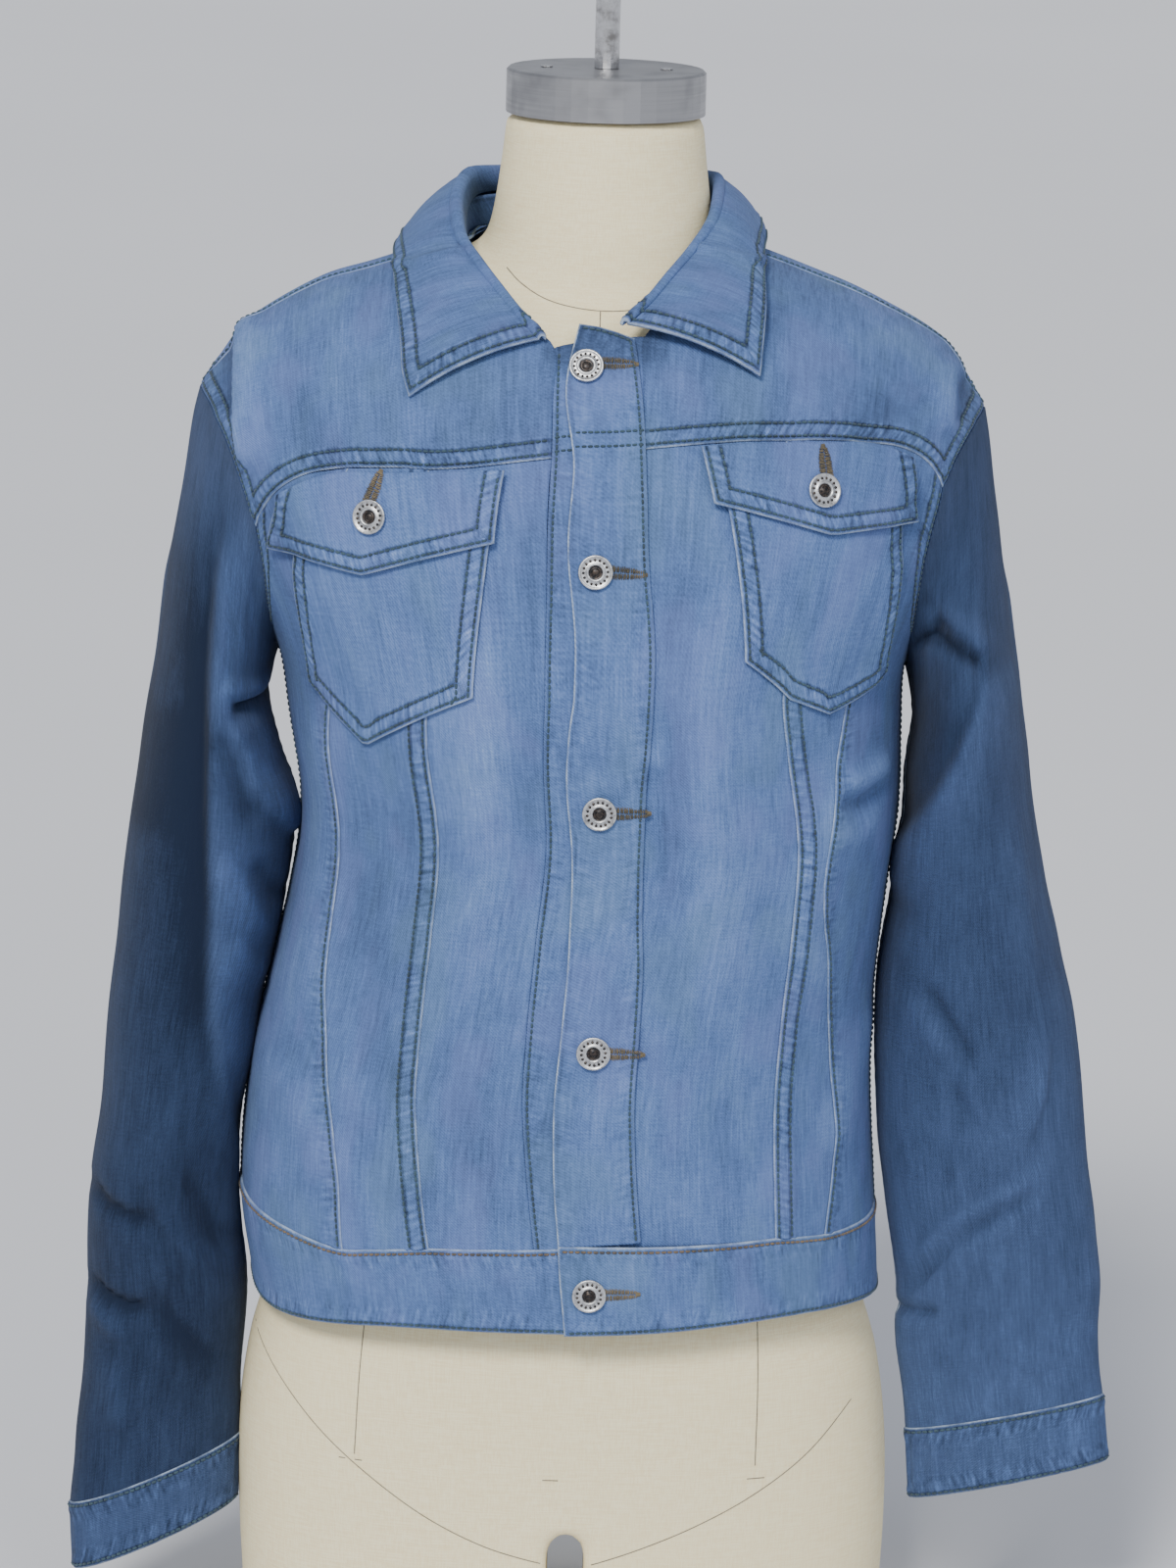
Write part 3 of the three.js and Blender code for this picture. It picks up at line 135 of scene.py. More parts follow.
def inner_point(angle, height):
    """Point of the body at an angle round it and a height on a scale that runs over the shoulder."""
    angle, height = np.broadcast_arrays(np.asarray(angle, float), np.asarray(height, float))
    over = height > RIDGE
    a = np.where(over, -angle, angle)
    v = np.where(over, 2 * RIDGE - height, height)
    rear = np.sin(a) > 0
    power = np.where(rear, BLADE_POWER, CHEST_POWER)
    across = signed_power(np.cos(a), 2 / PLAN_POWER)
    deep = signed_power(np.sin(a), 2 / PLAN_POWER)
    above = v > UNDERARM
    tau = np.clip((v - UNDERARM) / RIDGE_STEP, 0, 1) * math.pi / 2
    rise = np.where(above, np.abs(np.sin(tau)) ** (2 / power), 0)
    rounding = np.where(above, np.abs(np.cos(tau)) ** (2 / power), 1)
    z = v.copy()
    x = body_mid(z) + body_half(z) * across
    for _ in range(SOLVE_ROUNDS):
        z = np.where(above, UNDERARM + (ridge_z(x) - UNDERARM) * rise, v)
        x = body_mid(z) + body_half(z) * across
    front = read(GIRTHS, "z", "front", z) + AXIS_Y
    back = read(GIRTHS, "z", "back", z) - AXIS_Y
    y = AXIS_Y + np.where(rear, back, front) * deep * rounding
    return np.stack([x, y, z], -1)


def unit(v):
    """Vectors of length 1."""
    return v / np.maximum(np.linalg.norm(v, axis=-1, keepdims=True), 1e-9)


def body_normal(a, v):
    """The way straight out of the body at an angle and a height."""
    along_a = inner_point(a + 0.01, v) - inner_point(a - 0.01, v)
    along_v = inner_point(a, v + 1) - inner_point(a, v - 1)
    return unit(np.cross(along_a, along_v))


def place(x, z, side):
    """Angle and height of a point given by x and z, on the front (-1) or the back (1)."""
    x, z = np.broadcast_arrays(np.asarray(x, float), np.asarray(z, float))
    c = np.clip((x - body_mid(z)) / body_half(z), -1, 1)
    a = np.arccos(signed_power(c, PLAN_POWER / 2)) * side
    power = np.where(np.asarray(side) > 0, BLADE_POWER, CHEST_POWER)
    t = np.clip((z - UNDERARM) / (ridge_z(x) - UNDERARM), 0, 1)
    tau = np.arcsin(t ** (power / 2))
    v = np.where(z <= UNDERARM, z, UNDERARM + tau / (math.pi / 2) * RIDGE_STEP)
    return np.stack([a, v], -1)


# ------------------------------------------------------------------ curves
def curve_at(points, t):
    """Centripetal Catmull-Rom curve through points, at t from 0 to 1 counted in points."""
    p = np.asarray(points, float)
    p = np.vstack([2 * p[0] - p[1], p, 2 * p[-1] - p[-2]])
    last = len(p) - 4
    at = np.clip(np.asarray(t, float), 0, 1) * (last + 1)
    i = np.clip(np.floor(at).astype(int), 0, last)
    w = (at - i)[:, None]
    x0, x1, x2, x3 = p[i], p[i + 1], p[i + 2], p[i + 3]

    def gap(u, q):
        return np.maximum(np.linalg.norm(q - u, axis=1) ** 0.5, 1e-3)[:, None]
    d0, d1, d2 = gap(x0, x1), gap(x1, x2), gap(x2, x3)
    t1 = ((x1 - x0) / d0 - (x2 - x0) / (d0 + d1) + (x2 - x1) / d1) * d1
    t2 = ((x2 - x1) / d1 - (x3 - x1) / (d1 + d2) + (x3 - x2) / d2) * d1
    c2 = -3 * x1 + 3 * x2 - 2 * t1 - t2
    c3 = 2 * x1 - 2 * x2 + t1 + t2
    return x1 + w * (t1 + w * (c2 + w * c3))


SCALE_AV = np.array([ANGLE_SCALE, 1.0])


def lengths(points):
    steps = np.linalg.norm(np.diff(points, axis=0), axis=1)
    return np.concatenate([[0], np.cumsum(steps)])


def resample(points, shares):
    """Points of a polyline at shares of its length."""
    run = lengths(points)
    at = np.asarray(shares) * run[-1]
    return np.stack([np.interp(at, run, points[:, k]) for k in range(points.shape[1])], -1)


def smooth_edge(places, shares=None):
    """A smooth seam through places on the body, dense, or at shares of its length."""
    scaled = np.asarray(places, float) * SCALE_AV
    dense = curve_at(scaled, np.linspace(0, 1, 40 * (len(scaled) - 1) + 1))
    if shares is not None:
        dense = resample(dense, shares)
    return dense / SCALE_AV


def even(count):
    return np.linspace(0, 1, count + 1)


def seam(rows, shares, side=-1):
    rows = np.asarray(rows, float)
    return smooth_edge(place(rows[:, 0], rows[:, 1], side), shares)


def joined(*parts):
    return np.vstack([parts[0]] + [p[1:] for p in parts[1:]])


def between(rows, start, end):
    """The part of a seam table between two points of it, both included."""
    low, high = min(start[0], end[0]) + 1, max(start[0], end[0]) - 1
    return [start] + [r for r in rows if low < r[0] < high] + [end]


def waves(at, seed):
    """Uneven gentle waves between about -1 and 1."""
    rng = np.random.default_rng(seed)
    total = np.zeros_like(np.asarray(at, float))
    for k in range(5):
        total = total + np.sin(at * rng.uniform(0.6, 1.5) * 2 * math.pi + rng.uniform(0, 6.28))
    return total / 2.6


# ------------------------------------------------------------------ creases
def crease(path, high, wide, fade=0.25):
    """A soft trough (high below 0) or ridge along a path of x and z; wide is one width, or left and right."""
    wide = wide if isinstance(wide, tuple) else (wide, wide)
    return {"path": np.array(path, float), "high": high, "wide": wide, "fade": fade}


CREASE_GAIN = 1.5             # the height of every crease, as a share of the height in its table


def crease_height(x, z, creases):
    """Height of all creases together at x and z."""
    total = np.zeros_like(x)
    for c in creases:
        path = c["path"]
        run = lengths(path)
        best = np.full(x.shape, 1e9)
        side = np.zeros_like(x)
        at = np.zeros_like(x)
        for k in range(len(path) - 1):
            step = path[k + 1] - path[k]
            size = np.linalg.norm(step)
            ux, uz = step / size
            dx, dz = x - path[k][0], z - path[k][1]
            t = np.clip(dx * ux + dz * uz, 0, size)
            gap = np.hypot(dx - t * ux, dz - t * uz)
            near = gap < best
            best = np.where(near, gap, best)
            side = np.where(near, ux * dz - uz * dx, side)
            at = np.where(near, (run[k] + t) / run[-1], at)
        wide = np.where(side > 0, c["wide"][0], c["wide"][1])
        ends = smoothstep(0, c["fade"], at) * smoothstep(0, c["fade"], 1 - at)
        total = total + c["high"] * ends * np.exp(-(best / wide) ** 2)
    return total * CREASE_GAIN


# x and z of the torso's creases, front then back.
FRONT_CREASES = [
    crease([(5, 444), (20, 454), (38, 470)], -1.6, (7, 4)),
    crease([(10, 448), (26, 462), (44, 481)], 1.5, 7),
    crease([(-26, 640), (-30, 560), (-27, 470), (-29, 380)], -1.6, 9),
    crease([(44, 600), (46, 520), (42, 430), (44, 330)], -1.4, 9),
    crease([(60, 560), (58, 480), (66, 400), (70, 320)], 1.6, 14),
    crease([(-52, 560), (-54, 450), (-50, 330)], 1.4, 13),
    crease([(150, 448), (134, 440), (120, 446)], -2.2, 5),
    crease([(152, 458), (136, 452), (124, 456)], 2.2, 6),
    crease([(148, 430), (132, 424), (121, 428)], 1.2, 6),
    crease([(128, 470), (118, 420), (112, 380), (116, 330)], 2.0, (8, 12)),
    crease([(-135, 500), (-130, 430), (-134, 360), (-142, 300)], 1.6, 11),
    crease([(-110, 420), (-104, 350), (-98, 280)], -1.4, 12),
    crease([(-60, 300), (-48, 260), (-30, 236)], -1.0, 10),
    crease([(60, 300), (74, 262), (86, 238)], -1.0, 10),
    crease([(-150, 650), (-140, 620), (-120, 600)], -1.3, 12),
    crease([(-100, 660), (-92, 636), (-80, 618)], 1.0, 10),
    crease([(150, 645), (140, 632), (122, 626)], -1.3, 10),
    crease([(-162, 590), (-150, 574), (-141, 552)], -1.6, 7),
    crease([(163, 600), (152, 588), (146, 560)], -1.4, 7),
    crease([(-158, 300), (-132, 268), (-120, 240)], 1.3, 11),
    crease([(146, 330), (134, 290), (128, 250)], 1.3, 10),
    crease([(-178, 668), (-177, 640), (-176, 618), (-172, 596)], 3.2, (12, 2.6), 0.15),
    crease([(-184, 656), (-183, 634), (-181, 620)], -2.6, (2.8, 8), 0.2),
    crease([(176, 656), (174, 640), (174, 622)], 1.6, (3, 8), 0.15),
    crease([(184, 648), (183, 634), (181, 624)], -1.8, (6, 4), 0.2),
]
BACK_CREASES = [
    crease([(-120, 560), (-112, 470), (-118, 380), (-112, 290)], 2.6, 15),
    crease([(118, 565), (110, 480), (116, 390), (108, 300)], 2.4, 15),
    crease([(-92, 540), (-86, 460), (-92, 370)], -2.0, 12),
    crease([(90, 545), (84, 455), (90, 365)], -2.0, 12),
    crease([(-60, 330), (-20, 318), (26, 326), (66, 316)], -2.2, (9, 14)),
    crease([(-66, 304), (-10, 296), (50, 300)], 1.8, 12),
    crease([(-36, 570), (-40, 480), (-30, 390)], 1.2, 18),
    crease([(38, 575), (34, 470), (42, 380)], 1.2, 18),
    crease([(-150, 590), (-120, 606), (-86, 604)], -1.2, 9),
    crease([(150, 590), (122, 604), (88, 604)], -1.2, 9),
]


SIDE_BLEND = 30               # depth over which the front's creases give way to the back's
NECK_FLAT = (735, 690)        # heights where broad waves end and are whole


def body_relief(points):
    """Height of the torso's creases; layers that lie on each other share it."""
    x, y, z = points[..., 0], points[..., 1], points[..., 2]
    front = smoothstep(0, SIDE_BLEND, AXIS_Y + SIDE_BLEND / 2 - y)
    back = smoothstep(0, SIDE_BLEND, y - AXIS_Y + SIDE_BLEND / 2)
    height = front * crease_height(x, z, FRONT_CREASES) + back * crease_height(x, z, BACK_CREASES)
    broad = 0.7 * waves((x + 0.6 * z) / 210, 3) + 0.5 * waves((z - 0.4 * x) / 150, 4)
    return height + broad * smoothstep(*NECK_FLAT, z)


# ------------------------------------------------------------------ cloth pieces
# rows: stitch rows, measured from the edge; lift and upto: height and width of the raised border;
# worn: strength of the pale edge; rope: strength of the border's puckers
FINISH = {
    "double": {"rows": (2.3, 8.8), "lift": 0.75, "upto": 10.5, "worn": 1.0, "rope": 1.0},
    "felled": {"rows": (2.0, 9.6), "lift": 0.9, "upto": 11.0, "worn": 0.75, "rope": 0.8},
    "armhole": {"rows": (2.4, 8.6), "lift": 0.5, "upto": 10.0, "worn": 0.35, "rope": 0.7},
    "single": {"rows": (2.3,), "lift": 0.5, "upto": 5.0, "worn": 0.9, "rope": 0.6},
    "hem": {"rows": (2.0,), "lift": 0.2, "upto": 4.0, "worn": 0.7, "rope": 0.62},
    "line": {"rows": (2.5,), "lift": 0.1, "upto": 4.0, "worn": 0.12, "rope": 0.4},
    "fold": {"rows": (), "lift": 0.3, "upto": 3.0, "worn": 1.3, "rope": 0.3},
}
FINE = np.array([0, 0.6, 1.3, 2.3, 3.6, 5.2, 7.0, 8.8, 10.3, 12.2, 14.6])
SPACING = 4.5                 # between grid lines away from the borders
BORDER_SHARE = 0.42           # most of a length that one border's fine stops may take
FAR_OFF = 60.0                # distance given to points of a piece that has no finished edge
EDGE_ROLL, ROLL_WIDE = 0.45, 0.7       # how far a face turns down at an edge, as a share of its thickness
PUFF, PUCKER, PUFF_WIDE = 0.22, 0.3, 2.4
MIDDLE_OF_TWO, MIDDLE_OF_ONE = 5.4, 3.5        # where a border with two rows, or one, is fullest
DIP, DIP_WIDE = 0.32, 0.9     # a stitch row sinks into the cloth
BEYOND, BEYOND_WIDE, BORDER_END = 0.3, 4.0, 3  # ripples just past a border, and where a border ends
UNDER_SHARE = 0.8             # share of a raised place that the under face follows
STITCH_LISTS = {}


def stops(length, fine_start=True, fine_end=True, spacing=SPACING):
    """Shares of a length with close-set stops near finished edges."""
    start = FINE if fine_start else FINE[[0, 2]]
    end = FINE if fine_end else FINE[[0, 2]]
    scale = min(1, *(BORDER_SHARE * length / (s[-1] + 0.1) for s in (start, end)))
    low, high = start * scale, length - end[::-1] * scale
    count = max(int(round((high[0] - low[-1]) / spacing)), 1)
    middle = np.linspace(low[-1], high[0], count + 1)[1:-1]
    return np.concatenate([low, middle, high]) / length


CREASE_WEAR_AND_PAINTED_SHADING_PER_MM = 0.055           # how much paler a ridge, and darker a trough, is than flat cloth: partly worn denim, partly painted light and shade of the creases
CREASE_WEAR_AND_PAINTED_SHADING_LIMIT = 0.3


# Paler ridges and darker troughs: partly worn denim, partly painted light and shade of the creases
def crease_wear_and_painted_shading(height):
    return np.clip(np.asarray(height) * CREASE_WEAR_AND_PAINTED_SHADING_PER_MM, -CREASE_WEAR_AND_PAINTED_SHADING_LIMIT, CREASE_WEAR_AND_PAINTED_SHADING_LIMIT)


class Cloth:
    """A closed thin shell over a grid [row][column] of points on its under face."""

    def __init__(self, name, under, normal, thick, finish, grain, tone=0.0, loop=False, seed=1, height=0.0):
        self.name, self.loop = name, loop
        self.finish = finish
        self.measure(under)
        relief, edge, along, rope = self.borders(seed)
        roll = EDGE_ROLL * np.exp(-(edge / ROLL_WIDE) ** 2)
        self.normal = normal
        self.outer = under + normal * (thick * (1 - roll) + relief)[..., None]
        self.under = under + normal * (np.maximum(relief, 0) * UNDER_SHARE)[..., None]
        # The tone attribute carries the cloth's own tone together with painted light and shade of the creases, the
        # sleeves and the collar
        tone = np.broadcast_to(tone + crease_wear_and_painted_shading(height), edge.shape)
        self.attributes = {"edge": edge, "along": along, "rope": rope, "tone": tone}
        self.grain = grain

    def measure(self, under):
        """Distance of each point from each of the four edges, along the grid."""
        row_run, col_run = (
            np.cumsum(np.linalg.norm(np.diff(under, axis=k, prepend=first), axis=2), axis=k)
            for k, first in ((1, under[:, :1]), (0, under[:1])))
        across = unit(np.gradient(under, axis=1))
        up = unit(np.gradient(under, axis=0))
        slant = np.sqrt(np.clip(1 - np.sum(across * up, -1) ** 2, 0.3, 1))
        self.row_run, self.col_run = row_run, col_run
        self.far = {
            "start": row_run * slant[:, :1],
            "end": (row_run[:, -1:] - row_run) * slant[:, -1:],
            "bottom": col_run * slant[:1],
            "top": (col_run[-1:] - col_run) * slant[-1:],
        }
        self.side = {k: np.broadcast_to(v, under.shape[:2]) for k, v in (
            ("start", col_run[:, :1]), ("end", col_run[:, -1:]), ("bottom", row_run[:1]), ("top", row_run[-1:]))}

    def borders(self, seed):
        """Height of the borders, and for each point the nearest edge's distance, place and finish."""
        shape = self.far["start"].shape
        relief = np.zeros(shape)
        edge = np.full(shape, FAR_OFF)
        along, rope, worn = np.zeros((3, *shape))
        for k, (name, kind) in enumerate(self.finish.items()):
            rule = FINISH[kind]
            d, s = self.far[name], self.side[name]
            last = rule["upto"] + BORDER_END
            raised = rule["lift"] * (1 - smoothstep(rule["upto"], last, d))
            pucker = waves(s / 7.5, seed * 11 + k) * rule["rope"]
            middle = MIDDLE_OF_TWO if len(rule["rows"]) > 1 else MIDDLE_OF_ONE
            puff = (PUFF + PUCKER * pucker) * np.exp(-((d - middle) / PUFF_WIDE) ** 2)
            beyond = BEYOND * waves(s / 10.5, seed * 7 + k) * rule["rope"]
            dips = -DIP * sum(np.exp(-((d - r) / DIP_WIDE) ** 2) for r in rule["rows"])
            relief = np.maximum(relief, raised) if k else raised
            relief = relief + puff + dips + beyond * np.exp(-((d - last) / BEYOND_WIDE) ** 2)
            closer = d < edge
            edge = np.where(closer, d, edge)
            along = np.where(closer, s + 300 * k, along)
            rope = np.where(closer, rule["rope"], rope)
            worn = np.where(closer, rule["worn"], worn)
        self.worn = worn
        return relief, edge, along, rope

    def row(self, edge, depth, trim):
        """Points and normals of a stitch row at a depth from an edge, cut back at each end."""
        flip = edge in ("start", "end")
        outer = self.outer.swapaxes(0, 1) if flip else self.outer
        normal = self.normal.swapaxes(0, 1) if flip else self.normal
        far = self.far[edge].T if flip else self.far[edge]
        points, normals = [], []
        for i in range(outer.shape[1]):
            column = far[:, i]
            if edge in ("end", "top"):
                at = np.interp(-depth, -column, np.arange(len(column)))
            else:
                at = np.interp(depth, column, np.arange(len(column)))
            j = min(int(at), len(column) - 2)
            points.append(lerp(outer[j, i], outer[j + 1, i], at - j))
            normals.append(lerp(normal[j, i], normal[j + 1, i], at - j))
        points, normals = np.array(points), np.array(normals)
        run = lengths(points)
        cut = np.arange(trim[0], run[-1] - trim[1], 1.0)
        pick = [np.stack([np.interp(cut, run, a[:, k]) for k in range(3)], -1) for a in (points, normals)]
        return pick[0], unit(pick[1])

    def stitch(self, store, skip=()):
        """Adds the stitch rows of its finished edges, apart from those to skip, to a store."""
        for edge, kind in self.finish.items():
            if edge in skip:
                continue
            sides = ("bottom", "top") if edge in ("start", "end") else ("start", "end")
            for depth in FINISH[kind]["rows"]:
                trim = [depth if s in self.finish else 1.0 for s in sides]
                if self.loop:
                    trim = [0, 0]
                STITCH_LISTS.setdefault(store, []).append(self.row(edge, depth, trim))

    def build(self, material):
        """The mesh: outer face, under face and the rims that join them."""
        rows, cols = self.outer.shape[:2]
        count = rows * cols
        points = np.vstack([self.outer.reshape(-1, 3), self.under.reshape(-1, 3)])
        index = np.arange(count).reshape(rows, cols)
        a, b, c, d = index[:-1, :-1], index[:-1, 1:], index[1:, 1:], index[1:, :-1]
        faces = [np.stack([a, b, c, d], -1).reshape(-1, 4)]
        faces.append(np.stack([a, d, c, b], -1).reshape(-1, 4) + count)
        rims = [index[0], index[-1][::-1]]
        if not self.loop:
            rims += [index[:, -1], index[::-1, 0]]
        for rim in rims:
            faces.append(np.stack([rim[1:], rim[:-1], rim[:-1] + count, rim[1:] + count], -1))
        faces = np.vstack(faces)
        i, j = rows // 2, cols // 2
        turn = np.cross(self.outer[i, j + 1] - self.outer[i, j], self.outer[i + 1, j] - self.outer[i, j])
        if turn @ self.normal[i, j] < 0:
            faces = faces[:, ::-1]
        values = {k: np.tile(v.reshape(-1), 2) for k, v in self.attributes.items()}
        values["worn"] = np.tile(self.worn.reshape(-1), 2)
        grain = np.tile(self.grain.reshape(-1, 2), (2, 1))
        values["grain"] = np.column_stack([grain, np.zeros(len(grain))])
        obj = make_mesh(self.name, points, faces, values)
        if self.loop:
            weld(obj)
        obj.data.materials.append(material)
        return obj

    def flat_size(self):
        """Longest run along the rows and along the columns, in metres, and the area in square metres."""
        across, up = np.diff(self.under, axis=1)[:-1], np.diff(self.under, axis=0)[:, :-1]
        cell = np.linalg.norm(np.cross(across, up), axis=2)
        return self.row_run[:, -1].max() * MM, self.col_run[-1].max() * MM, cell.sum() * MM * MM


def make_mesh(name, points, faces, values=None):
    mesh = bpy.data.meshes.new(name)
    mesh.from_pydata(metres(points).tolist(), [], [list(map(int, f)) for f in faces])
    for key, value in (values or {}).items():
        kind = "FLOAT_VECTOR" if value.ndim == 2 else "FLOAT"
        layer = mesh.attributes.new(key, kind, "POINT")
        layer.data.foreach_set("vector" if value.ndim == 2 else "value", value.astype(np.float32).ravel())
    mesh.polygons.foreach_set("use_smooth", [True] * len(mesh.polygons))
    mesh.update()
    obj = bpy.data.objects.new(name, mesh)
    bpy.context.scene.collection.objects.link(obj)
    return obj


WELD = 0.05


def weld(obj):
    work = bmesh.new()
    work.from_mesh(obj.data)
    bmesh.ops.remove_doubles(work, verts=work.verts, dist=WELD * MM)
    work.to_mesh(obj.data)
    work.free()


# ------------------------------------------------------------------ materials
class Shader:
    """Short calls for building a node material."""

    def __init__(self, name):
        self.material = bpy.data.materials.new(name)
        self.material.use_nodes = True
        self.tree = self.material.node_tree
        self.surface = self.tree.nodes["Principled BSDF"]

    def node(self, kind, **settings):
        made = self.tree.nodes.new(kind)
        for key, value in settings.items():
            setattr(made, key, value)
        return made

    def feed(self, socket, value):
        if isinstance(value, bpy.types.NodeSocket):
            self.tree.links.new(value, socket)
        else:
            socket.default_value = value

    def math(self, operation, a, b=0.0, c=None, clamp=False):
        made = self.node("ShaderNodeMath", operation=operation, use_clamp=clamp)
        self.feed(made.inputs[0], a)
        self.feed(made.inputs[1], b)
        if c is not None:
            self.feed(made.inputs[2], c)
        return made.outputs[0]

    def between(self, value, low, high, out_low=0.0, out_high=1.0):
        made = self.node("ShaderNodeMapRange", interpolation_type="SMOOTHSTEP")
        for socket, v in zip(made.inputs, (value, low, high, out_low, out_high)):
            self.feed(socket, v)
        return made.outputs[0]

    def times(self, *values):
        """Product of two or more values."""
        return reduce(lambda a, b: self.math("MULTIPLY", a, b), values)

    def plus(self, *values):
        """Sum of two or more values."""
        return reduce(lambda a, b: self.math("ADD", a, b), values)

    def centred(self, value, middle=0.5):
        return self.math("SUBTRACT", value, middle)

    def mix(self, share, a, b):
        """Colour between two colours; a plain one is red, green and blue."""
        a, b = ((*c, 1) if isinstance(c, tuple) else c for c in (a, b))
        made = self.node("ShaderNodeMix", data_type="RGBA")
        self.feed(made.inputs[0], share)
        self.feed(made.inputs[6], a)
        self.feed(made.inputs[7], b)
        return made.outputs[2]

    def attribute(self, name, output="Fac"):
        return self.node("ShaderNodeAttribute", attribute_name=name).outputs[output]

    def stretch(self, vector, scale):
        made = self.node("ShaderNodeVectorMath", operation="MULTIPLY")
        self.feed(made.inputs[0], vector)
        made.inputs[1].default_value = scale
        return made.outputs[0]

    def noise(self, vector, detail=2.0, rough=0.5, scale=1.0):
        made = self.node("ShaderNodeTexNoise")
        self.feed(made.inputs["Vector"], vector)
        made.inputs["Scale"].default_value = scale
        made.inputs["Detail"].default_value = detail
        made.inputs["Roughness"].default_value = rough
        return made.outputs["Fac"]

    def combine(self, x, y, z=0.0):
        made = self.node("ShaderNodeCombineXYZ")
        for socket, value in zip(made.inputs, (x, y, z)):
            self.feed(socket, value)
        return made.outputs[0]

    def ramp(self, value, *steps):
        made = self.node("ShaderNodeValToRGB")
        self.feed(made.inputs[0], value)
        points = made.color_ramp.elements
        while len(points) < len(steps):
            points.new(0.5)
        for point, (at, colour) in zip(points, steps):
            point.position = at
            point.color = (*colour, 1)
        return made.outputs[0]

    def bump(self, height, strength, distance):
        made = self.node("ShaderNodeBump")
        made.inputs["Strength"].default_value = strength
        made.inputs["Distance"].default_value = distance
        self.feed(made.inputs["Height"], height)
        self.tree.links.new(made.outputs[0], self.surface.inputs["Normal"])

    def coordinates(self):
        return self.node("ShaderNodeTexCoord").outputs["Object"]

    def set(self, **constants):
        """Constants of the surface's own sockets, named with underlines for spaces."""
        for name, value in constants.items():
            self.surface.inputs[name.replace("_", " ")].default_value = value


# Noises of the cloth: scale across and down it (per mm), detail, roughness
DENIM_NOISES = {
    "streak": (0.5, 0.022, 4, 0.6), "slub": (1.25, 0.09, 3, 0.65), "weft": (0.10, 0.95, 2, 0.5),
    "speck": (0.9, 0.9, 3, 0.7), "mottle": (0.021, 0.013, 3, 0.55), "cloud": (0.07, 0.035, 3, 0.55),
    "hue": (0.030, 0.017, 2, 0.5),
}
# How much each noise adds to the shade of the cloth, and to its height
SHADE_WEIGHTS = {"streak": 0.55, "slub": 0.6, "weft": 0.26, "speck": 0.56, "mottle": 0.42, "cloud": 0.36}
HEIGHT_WEIGHTS = {"slub": 1.0, "speck": 0.8, "weft": 0.5}
DENIM_RAMP = (
    (0.0, (0.009, 0.017, 0.040)), (0.13, (0.026, 0.045, 0.098)), (0.3, (0.051, 0.084, 0.180)),
    (0.5, (0.090, 0.157, 0.355)), (0.72, (0.158, 0.252, 0.510)), (1.0, (0.34, 0.45, 0.69)))
RAMP_GAIN = 0.62
GREENER, REDDER, WORN_PALE = (0.120, 0.215, 0.320), (0.150, 0.190, 0.440), (0.40, 0.49, 0.62)
TWILL_PITCH = 4.3
DITCH_PAINTED_SHADE, INNER_DITCH_PAINTED_SHADE = 0.46, 0.42        # painted shade in the ditches: how dark the cloth is beside the outer and the inner stitch row


